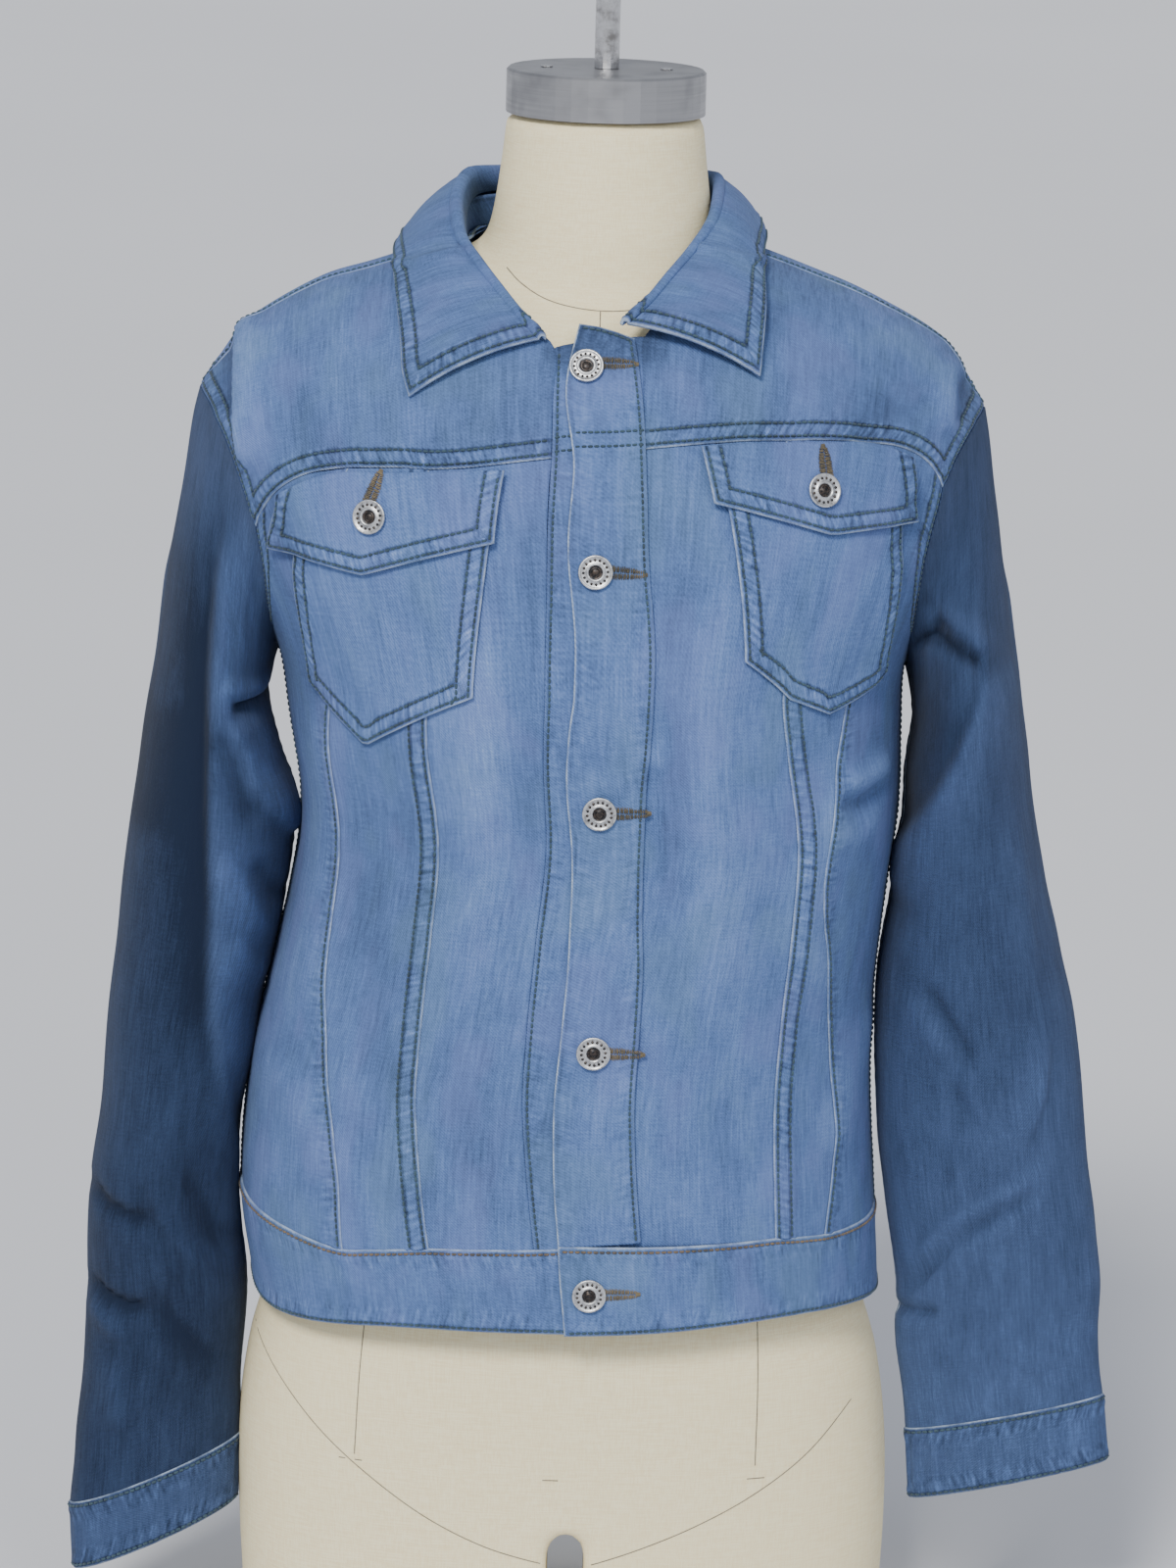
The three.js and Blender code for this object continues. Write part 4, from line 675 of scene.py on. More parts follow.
def denim_material():
    s = Shader("denim_faded")
    grain = s.attribute("grain", "Vector")
    tone, edge, along, rope, worn = (s.attribute(k) for k in ("tone", "edge", "along", "rope", "worn"))
    noise = {
        key: s.noise(s.stretch(grain, (across, down, 1)), detail, rough)
        for key, (across, down, detail, rough) in DENIM_NOISES.items()}
    parts = s.node("ShaderNodeSeparateXYZ")
    s.feed(parts.inputs[0], grain)
    slope = s.plus(s.times(parts.outputs[0], TWILL_PITCH), s.times(parts.outputs[1], TWILL_PITCH))
    twill = s.math("SINE", s.plus(slope, s.times(noise["speck"], 3.0)))

    # Shade of the cloth; darker cloth has a fainter pattern.
    value = s.plus(*(s.times(s.centred(noise[key]), weight) for key, weight in SHADE_WEIGHTS.items()),
                   s.times(twill, 0.035))
    # Tone brings in the cloth's own tone and painted light and shade
    value = s.plus(s.times(value, s.math("MULTIPLY_ADD", tone, 0.75, 1.0)), tone)

    # Puckers of a stitched border, and painted shade in the ditches beside its stitch rows
    knots = s.noise(s.combine(s.times(along, 0.24), s.times(edge, 0.13)), 2, 0.5)
    slanted = s.noise(s.combine(s.plus(s.times(along, 0.42), s.times(edge, 0.16)), 3.0), 1, 0.5)
    knot = s.times(s.centred(s.plus(knots, slanted), 1.0), 2.2)
    border = s.times(s.between(edge, 0.6, 2.0), s.between(edge, 13.0, 8.0), rope)
    outer = s.times(s.between(edge, 3.6, 2.2), s.between(edge, 0.9, 1.9), rope, -DITCH_PAINTED_SHADE)
    two_rows = s.between(rope, 0.64, 0.7)
    inner = s.times(s.between(edge, 10.6, 9.2), s.between(edge, 7.2, 8.5), two_rows, -INNER_DITCH_PAINTED_SHADE)
    value = s.plus(value, s.times(knot, border, 0.55), outer, inner)
    colour = s.ramp(s.math("MULTIPLY_ADD", value, RAMP_GAIN, 0.5, clamp=True), *DENIM_RAMP)

    # Greener and redder patches where the cloth is faded
    faded = s.between(tone, -0.4, 0.0)
    colour = s.mix(s.times(s.between(noise["hue"], 0.5, 0.68, 0, 0.22), faded), colour, GREENER)
    colour = s.mix(s.times(s.between(noise["hue"], 0.5, 0.34, 0, 0.28), faded), colour, REDDER)

    # The pale, ragged and patchy line of a worn edge
    ragged = s.noise(s.combine(s.times(along, 0.55), s.times(edge, 0.5)), 3, 0.7)
    reach = s.math("MULTIPLY_ADD", ragged, 1.1, 0.05)
    line = s.times(s.between(s.math("SUBTRACT", edge, reach), 0.45, -0.35), worn)
    patchy = s.noise(s.combine(s.times(along, 0.06), 7.0), 3, 0.6)
    line = s.math("MULTIPLY", line, s.between(patchy, 0.36, 0.62, 0.22, 0.86), clamp=True)
    s.feed(s.surface.inputs["Base Color"], s.mix(line, colour, WORN_PALE))

    s.feed(s.surface.inputs["Roughness"], s.between(noise["slub"], 0.2, 0.8, 0.94, 0.78))
    s.set(Specular_IOR_Level=0.14, Sheen_Weight=0.04, Sheen_Roughness=0.5)
    height = s.plus(s.times(twill, 0.28), *(s.times(noise[key], weight) for key, weight in HEIGHT_WEIGHTS.items()),
                    s.times(knot, border, 0.9))
    s.bump(height, 0.55, 0.00045)
    return s.material


def thread_material(name, dark, pale):
    s = Shader(name)
    fine = s.noise(s.coordinates(), 2, 0.5, 900)
    broad = s.noise(s.coordinates(), 2, 0.5, 60)
    both = s.plus(s.times(fine, 0.4), s.times(broad, 0.6))
    s.feed(s.surface.inputs["Base Color"], s.mix(s.between(both, 0.35, 0.65), dark, pale))
    s.set(Roughness=0.72, Sheen_Weight=0.2)
    s.bump(fine, 0.5, 0.0003)
    return s.material


def linen_material():
    s = Shader("linen_cover")
    at = s.coordinates()
    warp = s.noise(s.stretch(at, (1500, 1500, 90)), 2, 0.6)
    weft = s.noise(s.stretch(at, (90, 90, 1500)), 2, 0.6)
    cloud = s.noise(at, 3, 0.6, 7)
    spots = s.noise(at, 4, 0.7, 60)
    weave = s.plus(warp, weft)
    colour = s.mix(s.between(weave, 0.75, 1.25), (0.87, 0.74, 0.45), (0.95, 0.86, 0.58))
    colour = s.mix(s.between(cloud, 0.35, 0.75, 0, 0.4), colour, (0.90, 0.79, 0.50))
    colour = s.mix(s.between(spots, 0.62, 0.8, 0, 0.12), colour, (0.45, 0.39, 0.29))
    s.feed(s.surface.inputs["Base Color"], colour)
    s.feed(s.surface.inputs["Roughness"], s.between(weave, 0.7, 1.3, 0.9, 0.75))
    s.set(Specular_IOR_Level=0.3)
    s.bump(weave, 0.4, 0.0004)
    return s.material


def metal_material(name, colour, dull, rough, marks, scale, bump=0.15):
    """Metal with fine grain at a scale on each axis and duller marks at a scale of their own."""
    s = Shader(name)
    at = s.coordinates()
    grain = s.noise(s.stretch(at, scale), 3, 0.6)
    blots = s.noise(at, 3, 0.6, marks)
    mixed = s.mix(s.between(blots, 0.45, 0.75), colour, dull)
    mixed = s.mix(s.between(grain, 0.3, 0.8, 0, 0.35), mixed, dull)
    s.feed(s.surface.inputs["Base Color"], mixed)
    s.set(Metallic=1.0)
    s.feed(s.surface.inputs["Roughness"], s.between(grain, 0.25, 0.75, rough, rough + 0.16))
    s.bump(s.plus(grain, blots), bump, 0.0003)
    return s.material


def plain_material(name, dark, pale, rough, metal, scale):
    s = Shader(name)
    grain = s.noise(s.coordinates(), 3, 0.6, scale)
    s.feed(s.surface.inputs["Base Color"], s.mix(s.between(grain, 0.35, 0.7), dark, pale))
    s.set(Metallic=metal, Roughness=rough)
    s.bump(grain, 0.2, 0.0002)
    return s.material


DENIM = denim_material()
THREAD = thread_material("thread_teal", (0.012, 0.032, 0.050), (0.032, 0.075, 0.105))
THREAD_WARM = thread_material("thread_amber", (0.045, 0.042, 0.038), (0.19, 0.125, 0.065))
HOLE_THREAD = thread_material("thread_olive", (0.040, 0.036, 0.024), (0.170, 0.130, 0.070))
LINEN = linen_material()
STEEL = metal_material("steel_brushed", (0.42, 0.42, 0.43), (0.26, 0.26, 0.27), 0.3, 30, (14, 14, 900))
CHROME = metal_material(
    "chrome_pitted", (0.62, 0.62, 0.63), (0.25, 0.24, 0.23), 0.12, 140, (300, 300, 300), 0.3)
SILVER = metal_material("button_silver", (0.66, 0.67, 0.68), (0.30, 0.30, 0.31), 0.34, 420, (900, 900, 900))

BUTTON_DARK = plain_material("button_recess", (0.020, 0.022, 0.026), (0.085, 0.066, 0.055), 0.4, 0.8, 700)
FORM_SEAM = plain_material("form_seam", (0.16, 0.135, 0.10), (0.27, 0.23, 0.17), 0.9, 0.0, 500)

# ------------------------------------------------------------------ seams of the body
# x and z of each seam's points; OUT and IN are the seams down each front, HOLE the armhole
OUT_RIGHT = [(-116, 208), (-121, 270), (-127, 344), (-128, 474), (-121, 606)]
IN_RIGHT = [(-73, 214), (-77, 353), (-79, 483), (-81, 608)]
OUT_LEFT = [(124, 216), (127, 262), (121, 350), (115, 396), (121, 462), (127, 500), (130, 623)]
IN_LEFT = [(99, 219), (100, 354), (96, 480), (92, 625)]
STRIP_RIGHT = [(-21, 216), (-20, 420), (-22, 616)]
STRIP_INNER = [(22, 219), (22, 420), (22, 621)]
YOKE_RIGHT = [(-167, 570), (-161, 585), (-147, 598), (-125, 606), (-95, 608), (-61, 610), (-22, 616)]
YOKE_LEFT = [(171, 597), (161, 613), (150, 619), (136, 623), (107, 625), (68, 625), (22, 621)]
HOLE_RIGHT = [(-158, 500), (-160, 524), (-163, 547), (-167, 570)]
HOLE_LEFT = [(158, 500), (159, 530), (164, 566), (171, 597)]
TIP_RIGHT = [(-167, 570), (-175, 590), (-180, 604), (-186, 614), (-199, 628)]
TIP_LEFT = [(171, 597), (176, 607), (181, 615), (193, 628)]
WAIST_RIGHT = [(-171, 221), (-149, 213), (-116, 208), (-73, 214), (-21, 216)]
WAIST_LEFT = [(151, 214), (142, 215), (124, 216), (99, 219), (22, 219)]
NECK_RIGHT = [(-22, 667), (-40, 679), (-57, 694), (-67, 705)]
NECK_LEFT = [(22, 673), (38, 684), (56, 697), (67, 705)]
BACK_HOLE = [(158, 500), (157, 545), (164, 588), (172, 610), (194, 628)]
BACK_HOLE_TOP = 628
BACK_YOKE_Z = 588
BACK_YOKE_HALF = 164
NECK_X = 68                   # where the neck meets the shoulder
SHOULDER_SEAM_BACK = 7        # the front yoke ends this far short of the shoulder's ridge
# Steps of the grid that the seams share
SIDE_ROWS, HOLE_ROWS, YOKE_ROWS, PANEL_COLS, STRIP_ROWS = 5, 3, 6, 3, 2
PANEL_ROWS = SIDE_ROWS + HOLE_ROWS


def front_edges(turn, side_z, out, inside, strip, hole, waist, yoke):
    """Edges that the three panels of a front share: four seams down it, and the pieces of waist and yoke."""
    side = np.stack([np.full(SIDE_ROWS + 1, turn), np.linspace(side_z, UNDERARM, SIDE_ROWS + 1)], -1)
    side_line = joined(side, seam(hole, even(HOLE_ROWS)))
    tops = [hole[-1], out[-1], inside[-1], strip[-1]]
    feet = [waist[0], out[0], inside[0], strip[0]]
    waists = [seam(between(waist, feet[k], feet[k + 1]), even(PANEL_COLS)) for k in range(3)]
    waists[0][0] = side_line[0]
    yokes = [seam(between(yoke, tops[k], tops[k + 1]), even(PANEL_COLS)) for k in range(3)]
    lines = [side_line] + [seam(rows, even(PANEL_ROWS)) for rows in (out, inside, strip)]
    return {"lines": lines, "waists": waists, "yokes": yokes}


RIGHT = front_edges(-math.pi, 221, OUT_RIGHT, IN_RIGHT, STRIP_RIGHT, HOLE_RIGHT, WAIST_RIGHT, YOKE_RIGHT)
LEFT = front_edges(0.0, 214, OUT_LEFT, IN_LEFT, STRIP_INNER, HOLE_LEFT, WAIST_LEFT, YOKE_LEFT)


def yoke_edges(e, tip, neck, strip, sign):
    """Edges of a front yoke, from the armhole (start) to the strip and the neck (end)."""
    xs = lerp(tip[-1][0], NECK_X * sign, np.array([0, 0.12, 0.3, 0.6, 1]))
    top = place(xs, ridge_z(xs), -1)
    top[:, 1] = RIDGE - SHOULDER_SEAM_BACK
    top = smooth_edge(top, even(3 * PANEL_COLS))
    tip_line = seam(tip, even(YOKE_ROWS))
    tip_line[-1] = top[0]
    neck_line = seam(neck, even(YOKE_ROWS - STRIP_ROWS))
    neck_line[-1] = top[-1]
    strip_top = seam([strip, neck[0]], even(STRIP_ROWS))
    return {"bottom": joined(*e["yokes"]), "top": top, "start": tip_line, "end": joined(strip_top, neck_line)}


YOKE_R = yoke_edges(RIGHT, TIP_RIGHT, NECK_RIGHT, STRIP_RIGHT[2], -1)
YOKE_L = yoke_edges(LEFT, TIP_LEFT, NECK_LEFT, STRIP_INNER[2], 1)


def closer_above(t):
    """Shares that draw together towards 1."""
    return 1 - (1 - np.asarray(t)) ** 1.9


def back_hole(sign, low, high, shares):
    return seam([(sign * x, z) for x, z in BACK_HOLE if low <= z <= high], shares, 1)


def over_ridge(edge):
    """The same points counted from the back."""
    return np.stack([-edge[:, 0], 2 * RIDGE - edge[:, 1]], -1)


def back_neck():
    ends = [over_ridge(YOKE_R["top"][-1:])[0], over_ridge(YOKE_L["top"][-1:])[0]]
    middle = [place(x, lerp(709, 706, (x / 60) ** 2), 1) for x in (-56, -30, 0, 30, 56)]
    return smooth_edge([ends[0], *middle, ends[1]], even(6))


BACK_TOP = joined(over_ridge(YOKE_R["top"]), back_neck(), over_ridge(YOKE_L["top"])[::-1])
BACK_HOLE_R, BACK_HOLE_L = (
    back_hole(sign, BACK_YOKE_Z, BACK_HOLE_TOP, closer_above(even(YOKE_ROWS))) for sign in (-1, 1))
BACK_HOLE_R[-1] = BACK_TOP[0]
BACK_HOLE_L[-1] = BACK_TOP[-1]
BACK_YOKE_BOTTOM = place(np.linspace(-BACK_YOKE_HALF, BACK_YOKE_HALF, len(BACK_TOP)), BACK_YOKE_Z, 1)


def back_side(e, sign, angle):
    """The back's side seam, at the front's heights, and the armhole up to the yoke."""
    side = e["lines"][0][:SIDE_ROWS + 1].copy()
    side[:, 0] = angle
    return joined(side, back_hole(sign, UNDERARM, BACK_YOKE_Z, even(HOLE_ROWS)))


BACK_START, BACK_END = back_side(RIGHT, -1, math.pi), back_side(LEFT, 1, 0.0)
BACK_WAIST = np.stack([
    np.linspace(math.pi, 0, len(BACK_TOP)),
    np.linspace(BACK_START[0, 1], BACK_END[0, 1], len(BACK_TOP))], -1)


# ------------------------------------------------------------------ cloth on the body
# Share of the creases' height that pales ridges and darkens troughs, partly as wear and partly as painted light
# and shade, on the front and on the back
BODY_WEAR_AND_PAINTED_SHADING, BACK_WEAR_AND_PAINTED_SHADING = 1.3, 0.45
NECK_PAINTED_SHADOW = -0.34            # painted shadow of the collar: the front strips are darker near the neck
SEAM_GAP = 0.15               # each piece ends this far short of its seam
CLEAR = 0.2                   # the yokes lie this far off the panels' level


def on_body(places, level):
    """Points and outward normals at a level above the creased body."""
    points = inner_point(places[..., 0], places[..., 1])
    normal = body_normal(places[..., 0], places[..., 1])
    height = level + body_relief(points)
    return points + normal * np.asarray(height)[..., None], normal


def wear_and_painted_shading_height(places):
    """Height of the creases as their wear and their painted light and shade count it."""
    points = inner_point(places[..., 0], places[..., 1])
    front = smoothstep(AXIS_Y + 20, AXIS_Y - 20, points[..., 1])
    return lerp(BACK_WEAR_AND_PAINTED_SHADING, BODY_WEAR_AND_PAINTED_SHADING, front) * body_relief(points)


# Painted shadow of the collar on the front strips near the neck
def painted_neck_shadow(points):
    x, y, z = points[..., 0], points[..., 1], points[..., 2]
    across = smoothstep(-30, -18, x) * smoothstep(34, 24, x)
    return NECK_PAINTED_SHADOW * smoothstep(648, 668, z) * across * (y < AXIS_Y)


def flat_grain(places):
    """Place in the flat cloth, so that its weave runs up the body."""
    return np.stack([places[..., 0] * ANGLE_SCALE, places[..., 1]], -1)


def coons(bottom, top, start, end, us, ws):
    """Grid of places between four edges (a Coons patch), at shares across and up."""
    b, t = resample(bottom * SCALE_AV, us), resample(top * SCALE_AV, us)
    s, e = resample(start * SCALE_AV, ws), resample(end * SCALE_AV, ws)
    u, w = us[None, :, None], ws[:, None, None]
    mixed = (1 - w) * b[None] + w * t[None] + (1 - u) * s[:, None] + u * e[:, None]
    mixed = mixed - (1 - u) * (1 - w) * b[0] - u * (1 - w) * b[-1] - (1 - u) * w * t[0] - u * w * t[-1]
    return mixed / SCALE_AV


def body_panel(name, edges, level, thick, finish, tone, seed, smooth=True, gap=SEAM_GAP):
    """Cloth on the body between four edges, its under face at a level above the body."""
    lines = {k: smooth_edge(v) if smooth else np.asarray(v) for k, v in edges.items()}
    size = {k: lengths(inner_point(v[:, 0], v[:, 1]))[-1] for k, v in lines.items()}
    wide, tall = max(size["bottom"], size["top"]), max(size["start"], size["end"])
    us = stops(wide, "start" in finish, "end" in finish)
    ws = stops(tall, "bottom" in finish, "top" in finish)
    us = lerp(gap / wide, 1 - gap / wide, us)
    ws = lerp(gap / tall, 1 - gap / tall, ws)
    places = coons(lines["bottom"], lines["top"], lines["start"], lines["end"], us, ws)
    under, normal = on_body(places, level)
    return Cloth(name, under, normal, thick, finish, flat_grain(places), tone + painted_neck_shadow(under),
                 seed=seed, height=wear_and_painted_shading_height(places))


PIECES = {}


def keep(cloth):
    """Keeps a piece for the node of its name without the last word."""
    PIECES[cloth.name.removesuffix("_denim")] = cloth
    return cloth


# Part of each front, its finished edges and its tone
FRONT_PARTS = (
    ("side", {"start": "armhole", "end": "single"}, -0.05), ("mid", {"end": "felled"}, 0), ("center", {}, 0.03))
YOKE_FINISH = {"bottom": "double", "start": "armhole"}
for e, word, start_seed in ((RIGHT, "right", 10), (LEFT, "left", 20)):
    for k, (part, finish, tone) in enumerate(FRONT_PARTS):
        edges = {"bottom": e["waists"][k], "top": e["yokes"][k], "start": e["lines"][k], "end": e["lines"][k + 1]}
        piece = body_panel(f"front_{part}_{word}_denim", edges, 0, CLOTH, finish, tone, start_seed + k)
        keep(piece).stitch("front")

for edges, word, seed in ((YOKE_R, "right", 31), (YOKE_L, "left", 32)):
    piece = body_panel(f"front_yoke_{word}_denim", edges, CLEAR, CLOTH, YOKE_FINISH, -0.07, seed)
    keep(piece).stitch("front")

back_yoke_edges = {"bottom": BACK_YOKE_BOTTOM, "top": BACK_TOP, "start": BACK_HOLE_R, "end": BACK_HOLE_L}
piece = body_panel("back_yoke_denim", back_yoke_edges, CLEAR, CLOTH,
                   {**YOKE_FINISH, "end": "armhole", "top": "single"}, 0.0, 41)
keep(piece).stitch("back")
back_edges = {"bottom": BACK_WAIST, "top": BACK_YOKE_BOTTOM, "start": BACK_START, "end": BACK_END}
keep(body_panel("back_denim", back_edges, 0, CLOTH, {}, -0.02, 42))

# Front strips: x and z of the edges of the one that laps over
LAP_LEFT = [(-9, 219), (-9, 345), (-10, 449), (-8, 538), (-13, 572), (-11, 620), (-16, 650), (-10, 677)]
LAP_RIGHT = [(32, 222), (29, 347), (28, 422), (31, 505), (26, 575), (24, 627), (20, 652), (17, 671)]


def strip_edges(first, last):
    """Edges of a strip between its two long ones."""
    return {"bottom": np.array([first[0], last[0]]), "top": np.array([first[-1], last[-1]]),
            "start": first, "end": last}


def seam_to_collar(e, yoke):
    return joined(e["lines"][3], yoke["end"][:STRIP_ROWS + 1])


under_edges = strip_edges(seam_to_collar(RIGHT, YOKE_R), seam_to_collar(LEFT, YOKE_L))
keep(body_panel("placket_under_denim", under_edges, 0, CLOTH, {"start": "line"}, 0.0, 51)).stitch("front")
top_edges = strip_edges(seam(LAP_LEFT, even(14)), seam(LAP_RIGHT, even(14)))
placket = body_panel("placket_top_denim", top_edges, OVER, CLOTH,
                     {"start": "fold", "end": "line", "top": "single"}, 0.03, 52)
keep(placket).stitch("front", skip=("start",))

# The yoke's stitching runs on across both front strips: x and z of its lower edge, level of the cloth below.
YOKE_RUNS = [([(-11, 619), (8, 620), (24, 621)], OVER + CLOTH), ([(-21, 617), (-14, 618), (-10, 618)], CLOTH)]
THREAD_LIFT = 0.1             # laid threads start this far above the cloth
for run_points, level in YOKE_RUNS:
    for depth in FINISH["double"]["rows"]:
        at = seam([(x, z + depth) for x, z in run_points], even(40))
        STITCH_LISTS["front"].append(on_body(at, np.full(len(at), level + THREAD_LIFT)))

# Hem band
BAND_FOLD = 0.5               # air between the band's lapped ends
BAND_TALL = 46
BAND_TUCK = 0.9               # the band's top covers this much of the panels above it
# Turn, in radians from the wearer's left front edge: height of the band's foot, and how far an end laps out
BAND_LOW = table(
    "turn z", (0, 173), (0.45, 172), (0.9, 166), (1.25, 165), (1.57, 172), (3.14, 172), (4.71, 170),
    (5.2, 176), (5.6, 178), (6.28, 173), (6.6, 173))
BAND_RISE = table("turn out", (0, 0), (5.45, 0), (5.75, 0.3), (6.08, 1), (6.7, 1))


def band_top():
    """Places along the band's top: under the lap, round the right side, back and left side, and over the lap."""
    under = np.array([place(x, lerp(219, 216, (22 - x) / 43), -1) for x in (22, 0.5, -21)])
    right = joined(*[w[::-1] for w in RIGHT["waists"][::-1]])
    back = BACK_WAIST - [2 * math.pi, 0]
    left = joined(*LEFT["waists"]) - [2 * math.pi, 0]
    lap = np.array([place(x, 219, -1) for x in (6, -9)]) - [2 * math.pi, 0]
    return np.vstack([joined(under, right, back, left), lap])


def hem_band():
    tops = smooth_edge(band_top())
    size = lengths(inner_point(tops[:, 0], tops[:, 1]))[-1]
    tops = resample(tops * SCALE_AV, stops(size, False, True)) / SCALE_AV
    turn = -tops[:, 0] - math.pi / 2
    low = read(BAND_LOW, "turn", "z", turn)
    rise = read(BAND_RISE, "turn", "out", turn) * (DOUBLE + BAND_FOLD)
    shares = stops(BAND_TALL)[:, None]
    heights = lerp(low, tops[:, 1] + BAND_TUCK, shares)
    places = np.stack([np.broadcast_to(tops[:, 0], heights.shape), heights], -1)
    under, normal = on_body(places, np.broadcast_to(rise, heights.shape))
    finish = {"bottom": "hem", "top": "single", "end": "fold"}
    return Cloth("hem_band_denim", under, normal, DOUBLE, finish, flat_grain(places), seed=61)


band = keep(hem_band())
band.stitch("band", skip=("end", "top"))
STITCH_LISTS["band_warm"] = [band.row("top", FINISH["single"]["rows"][0], (1, 2))]

# Chest pockets and flaps: levels of their under faces, then x and z of each one's foot and head
SINK = 0.6                    # patches settle into the soft cloth by this much
POCKET_LOW = CLOTH + LAID
FLAP_LOW = POCKET_LOW + CLOTH + 0.9
POCKETS = {
    "right": ([(-138, 496), (-108, 469), (-56, 500)], [(-149, 585), (-100, 592), (-48, 592)]),
    "left": ([(74, 520), (116, 490), (144, 505)], [(62, 604), (105, 604), (150, 598)]),
}
FLAPS = {
    "right": ([(-157, 563), (-110, 556), (-48, 575)], [(-154, 589), (-125, 603), (-95, 605), (-44, 609)]),
    "left": ([(57, 596), (114, 580), (156, 583)], [(50, 622), (107, 623), (136, 621), (153, 613)]),
}


def pointed(name, rows, level, thick, seed, tone):
    """A patch with a straight-sided point below."""
    bottom, top = rows
    a, tip, b = (place(x, z, -1) for x, z in bottom)
    run = np.linspace(0, 1, 20)[:, None]
    edges = {
        "bottom": joined(lerp(a, tip, run), lerp(tip, b, run)),
        "top": seam(top, even(30)),
        "start": seam([bottom[0], top[0]], even(30)),
        "end": seam([bottom[2], top[-1]], even(30)),
    }
    finish = dict.fromkeys(("start", "end", "bottom"), "double")
    return body_panel(name, edges, level - SINK, thick, finish, tone, seed, smooth=False, gap=0.0)


for word, seed in (("right", 71), ("left", 75)):
    keep(pointed(f"pocket_{word}_denim", POCKETS[word], POCKET_LOW, CLOTH, seed, 0.04)).stitch("front")
    keep(pointed(f"pocket_flap_{word}_denim", FLAPS[word], FLAP_LOW, DOUBLE, seed + 1, 0.02)).stitch("front")

# ------------------------------------------------------------------ collar
# Stations from the right point round the neck to the left: n is the foot on the jacket (x, z, front -1 or
# back 1), r the top of the roll, e the outer edge, fold the radius of the roll.
COLLAR = table(
    "nx nz ns rx ry rz ex ey ez fold",
    (-28, 665, -1, -28, -93, 673, -92, -96, 641, 1.6), (-36, 673, -1, -37, -88, 681, -96, -88, 653, 1.7),
    (-46, 684, -1, -48, -77.6, 692.6, -98, -73, 670, 1.9), (-57, 694, -1, -60, -61, 705, -101, -50, 686, 2.2),
    (-63, 701, -1, -70, -40, 716, -103, -22, 695, 2.6), (-67, 707, 1, -74, -9, 731, -104, 8, 699, 3),
    (-58, 706, 1, -75, 20, 739, -98, 42, 692, 3), (-32, 708, 1, -48, 56, 738, -62, 80, 681, 3),
    (0, 709, 1, 0, 70, 737, 0, 91, 677, 3), (32, 708, 1, 40, 60, 738, 50, 82, 681, 3),
    (57, 706, 1, 58, 30, 740, 74, 44, 694, 2.6), (66, 707, 1, 58.5, 3, 741, 79, 6, 702, 2.2),
    (62, 701, -1, 55, -29, 727, 80, -24, 702, 2), (54, 696, -1, 45, -51, 714, 81, -50, 697, 1.9),
    (40, 686, -1, 33, -72, 702, 81, -72, 685, 1.8), (27, 677, -1, 22, -85, 690, 80, -85, 670, 1.7),
    (14, 673, -1, 12, -95, 682, 79, -93, 656, 1.6))
STAND_SHARE = 0.6             # share of the rise inside the collar that the stand takes
STAND_FOOT = 2.7              # the stand starts this far above the neck seam
STAND_GAP = 2.2               # and the fall starts this far above the stand
STAND_ROWS, STAND_COLS = 8, 110
FALL_WIDE = 65
ROLL_STEPS = 8
BULGE = 4                     # the fall bows out by this much in the middle
# Least heights of the collar's middle surface above the body: over the strips, elsewhere in front, at the back
STRIP_HEIGHT = OVER + CLOTH + DOUBLE / 2 + 0.6
REST_HEIGHT = CLOTH + DOUBLE / 2 + 0.5
BACK_HEIGHT = REST_HEIGHT + 1.3
COLLAR_LENGTH = 500
SHOULDER_ROUNDS, SHOULDER_REACH = 60, 22       # smoothing where the collar passes over the shoulder


def lifted(p):
    """Moves points out until they stand clear of the jacket's body."""
    side = np.where(p[..., 1] > AXIS_Y, 1, -1)
    at = place(p[..., 0], np.minimum(p[..., 2], ridge_z(p[..., 0])), side)
    normal = body_normal(at[..., 0], at[..., 1])
    base = inner_point(at[..., 0], at[..., 1])
    gap = np.sum((p - base) * normal, -1) - body_relief(base)
    near = smoothstep(-24, -12, p[..., 0]) * (1 - smoothstep(34, 46, p[..., 0]))
    need = np.where(side < 0, lerp(REST_HEIGHT, STRIP_HEIGHT, near), BACK_HEIGHT)
    return p + normal * np.maximum(need - gap, 0)[..., None]


def collar_curve(key, t):
    return curve_at(np.stack([COLLAR[key + axis] for axis in "xyz"], -1), t)


def collar_stations(t):
    """At shares of the collar's length: foot, inside of the roll, its middle, way out, radius, outer edge."""
    foot_at = place(COLLAR["nx"], COLLAR["nz"], COLLAR["ns"])
    foot_points = inner_point(foot_at[:, 0], foot_at[:, 1])
    foot_points = foot_points + body_normal(foot_at[:, 0], foot_at[:, 1]) * (CLOTH / 2)
    foot = curve_at(foot_points, t)
    roll, edge = collar_curve("r", t), lifted(collar_curve("e", t))
    fold = np.interp(t * (len(COLLAR["fold"]) - 1), np.arange(len(COLLAR["fold"])), COLLAR["fold"])
    out = edge - roll
    out[:, 2] = 0
    out = unit(out)
    heart = roll - fold[:, None] * [0, 0, 1]
    inside = heart - out * fold[:, None]
    start = foot + unit(inside - foot) * STAND_FOOT
    return start, inside, heart, out, fold, edge


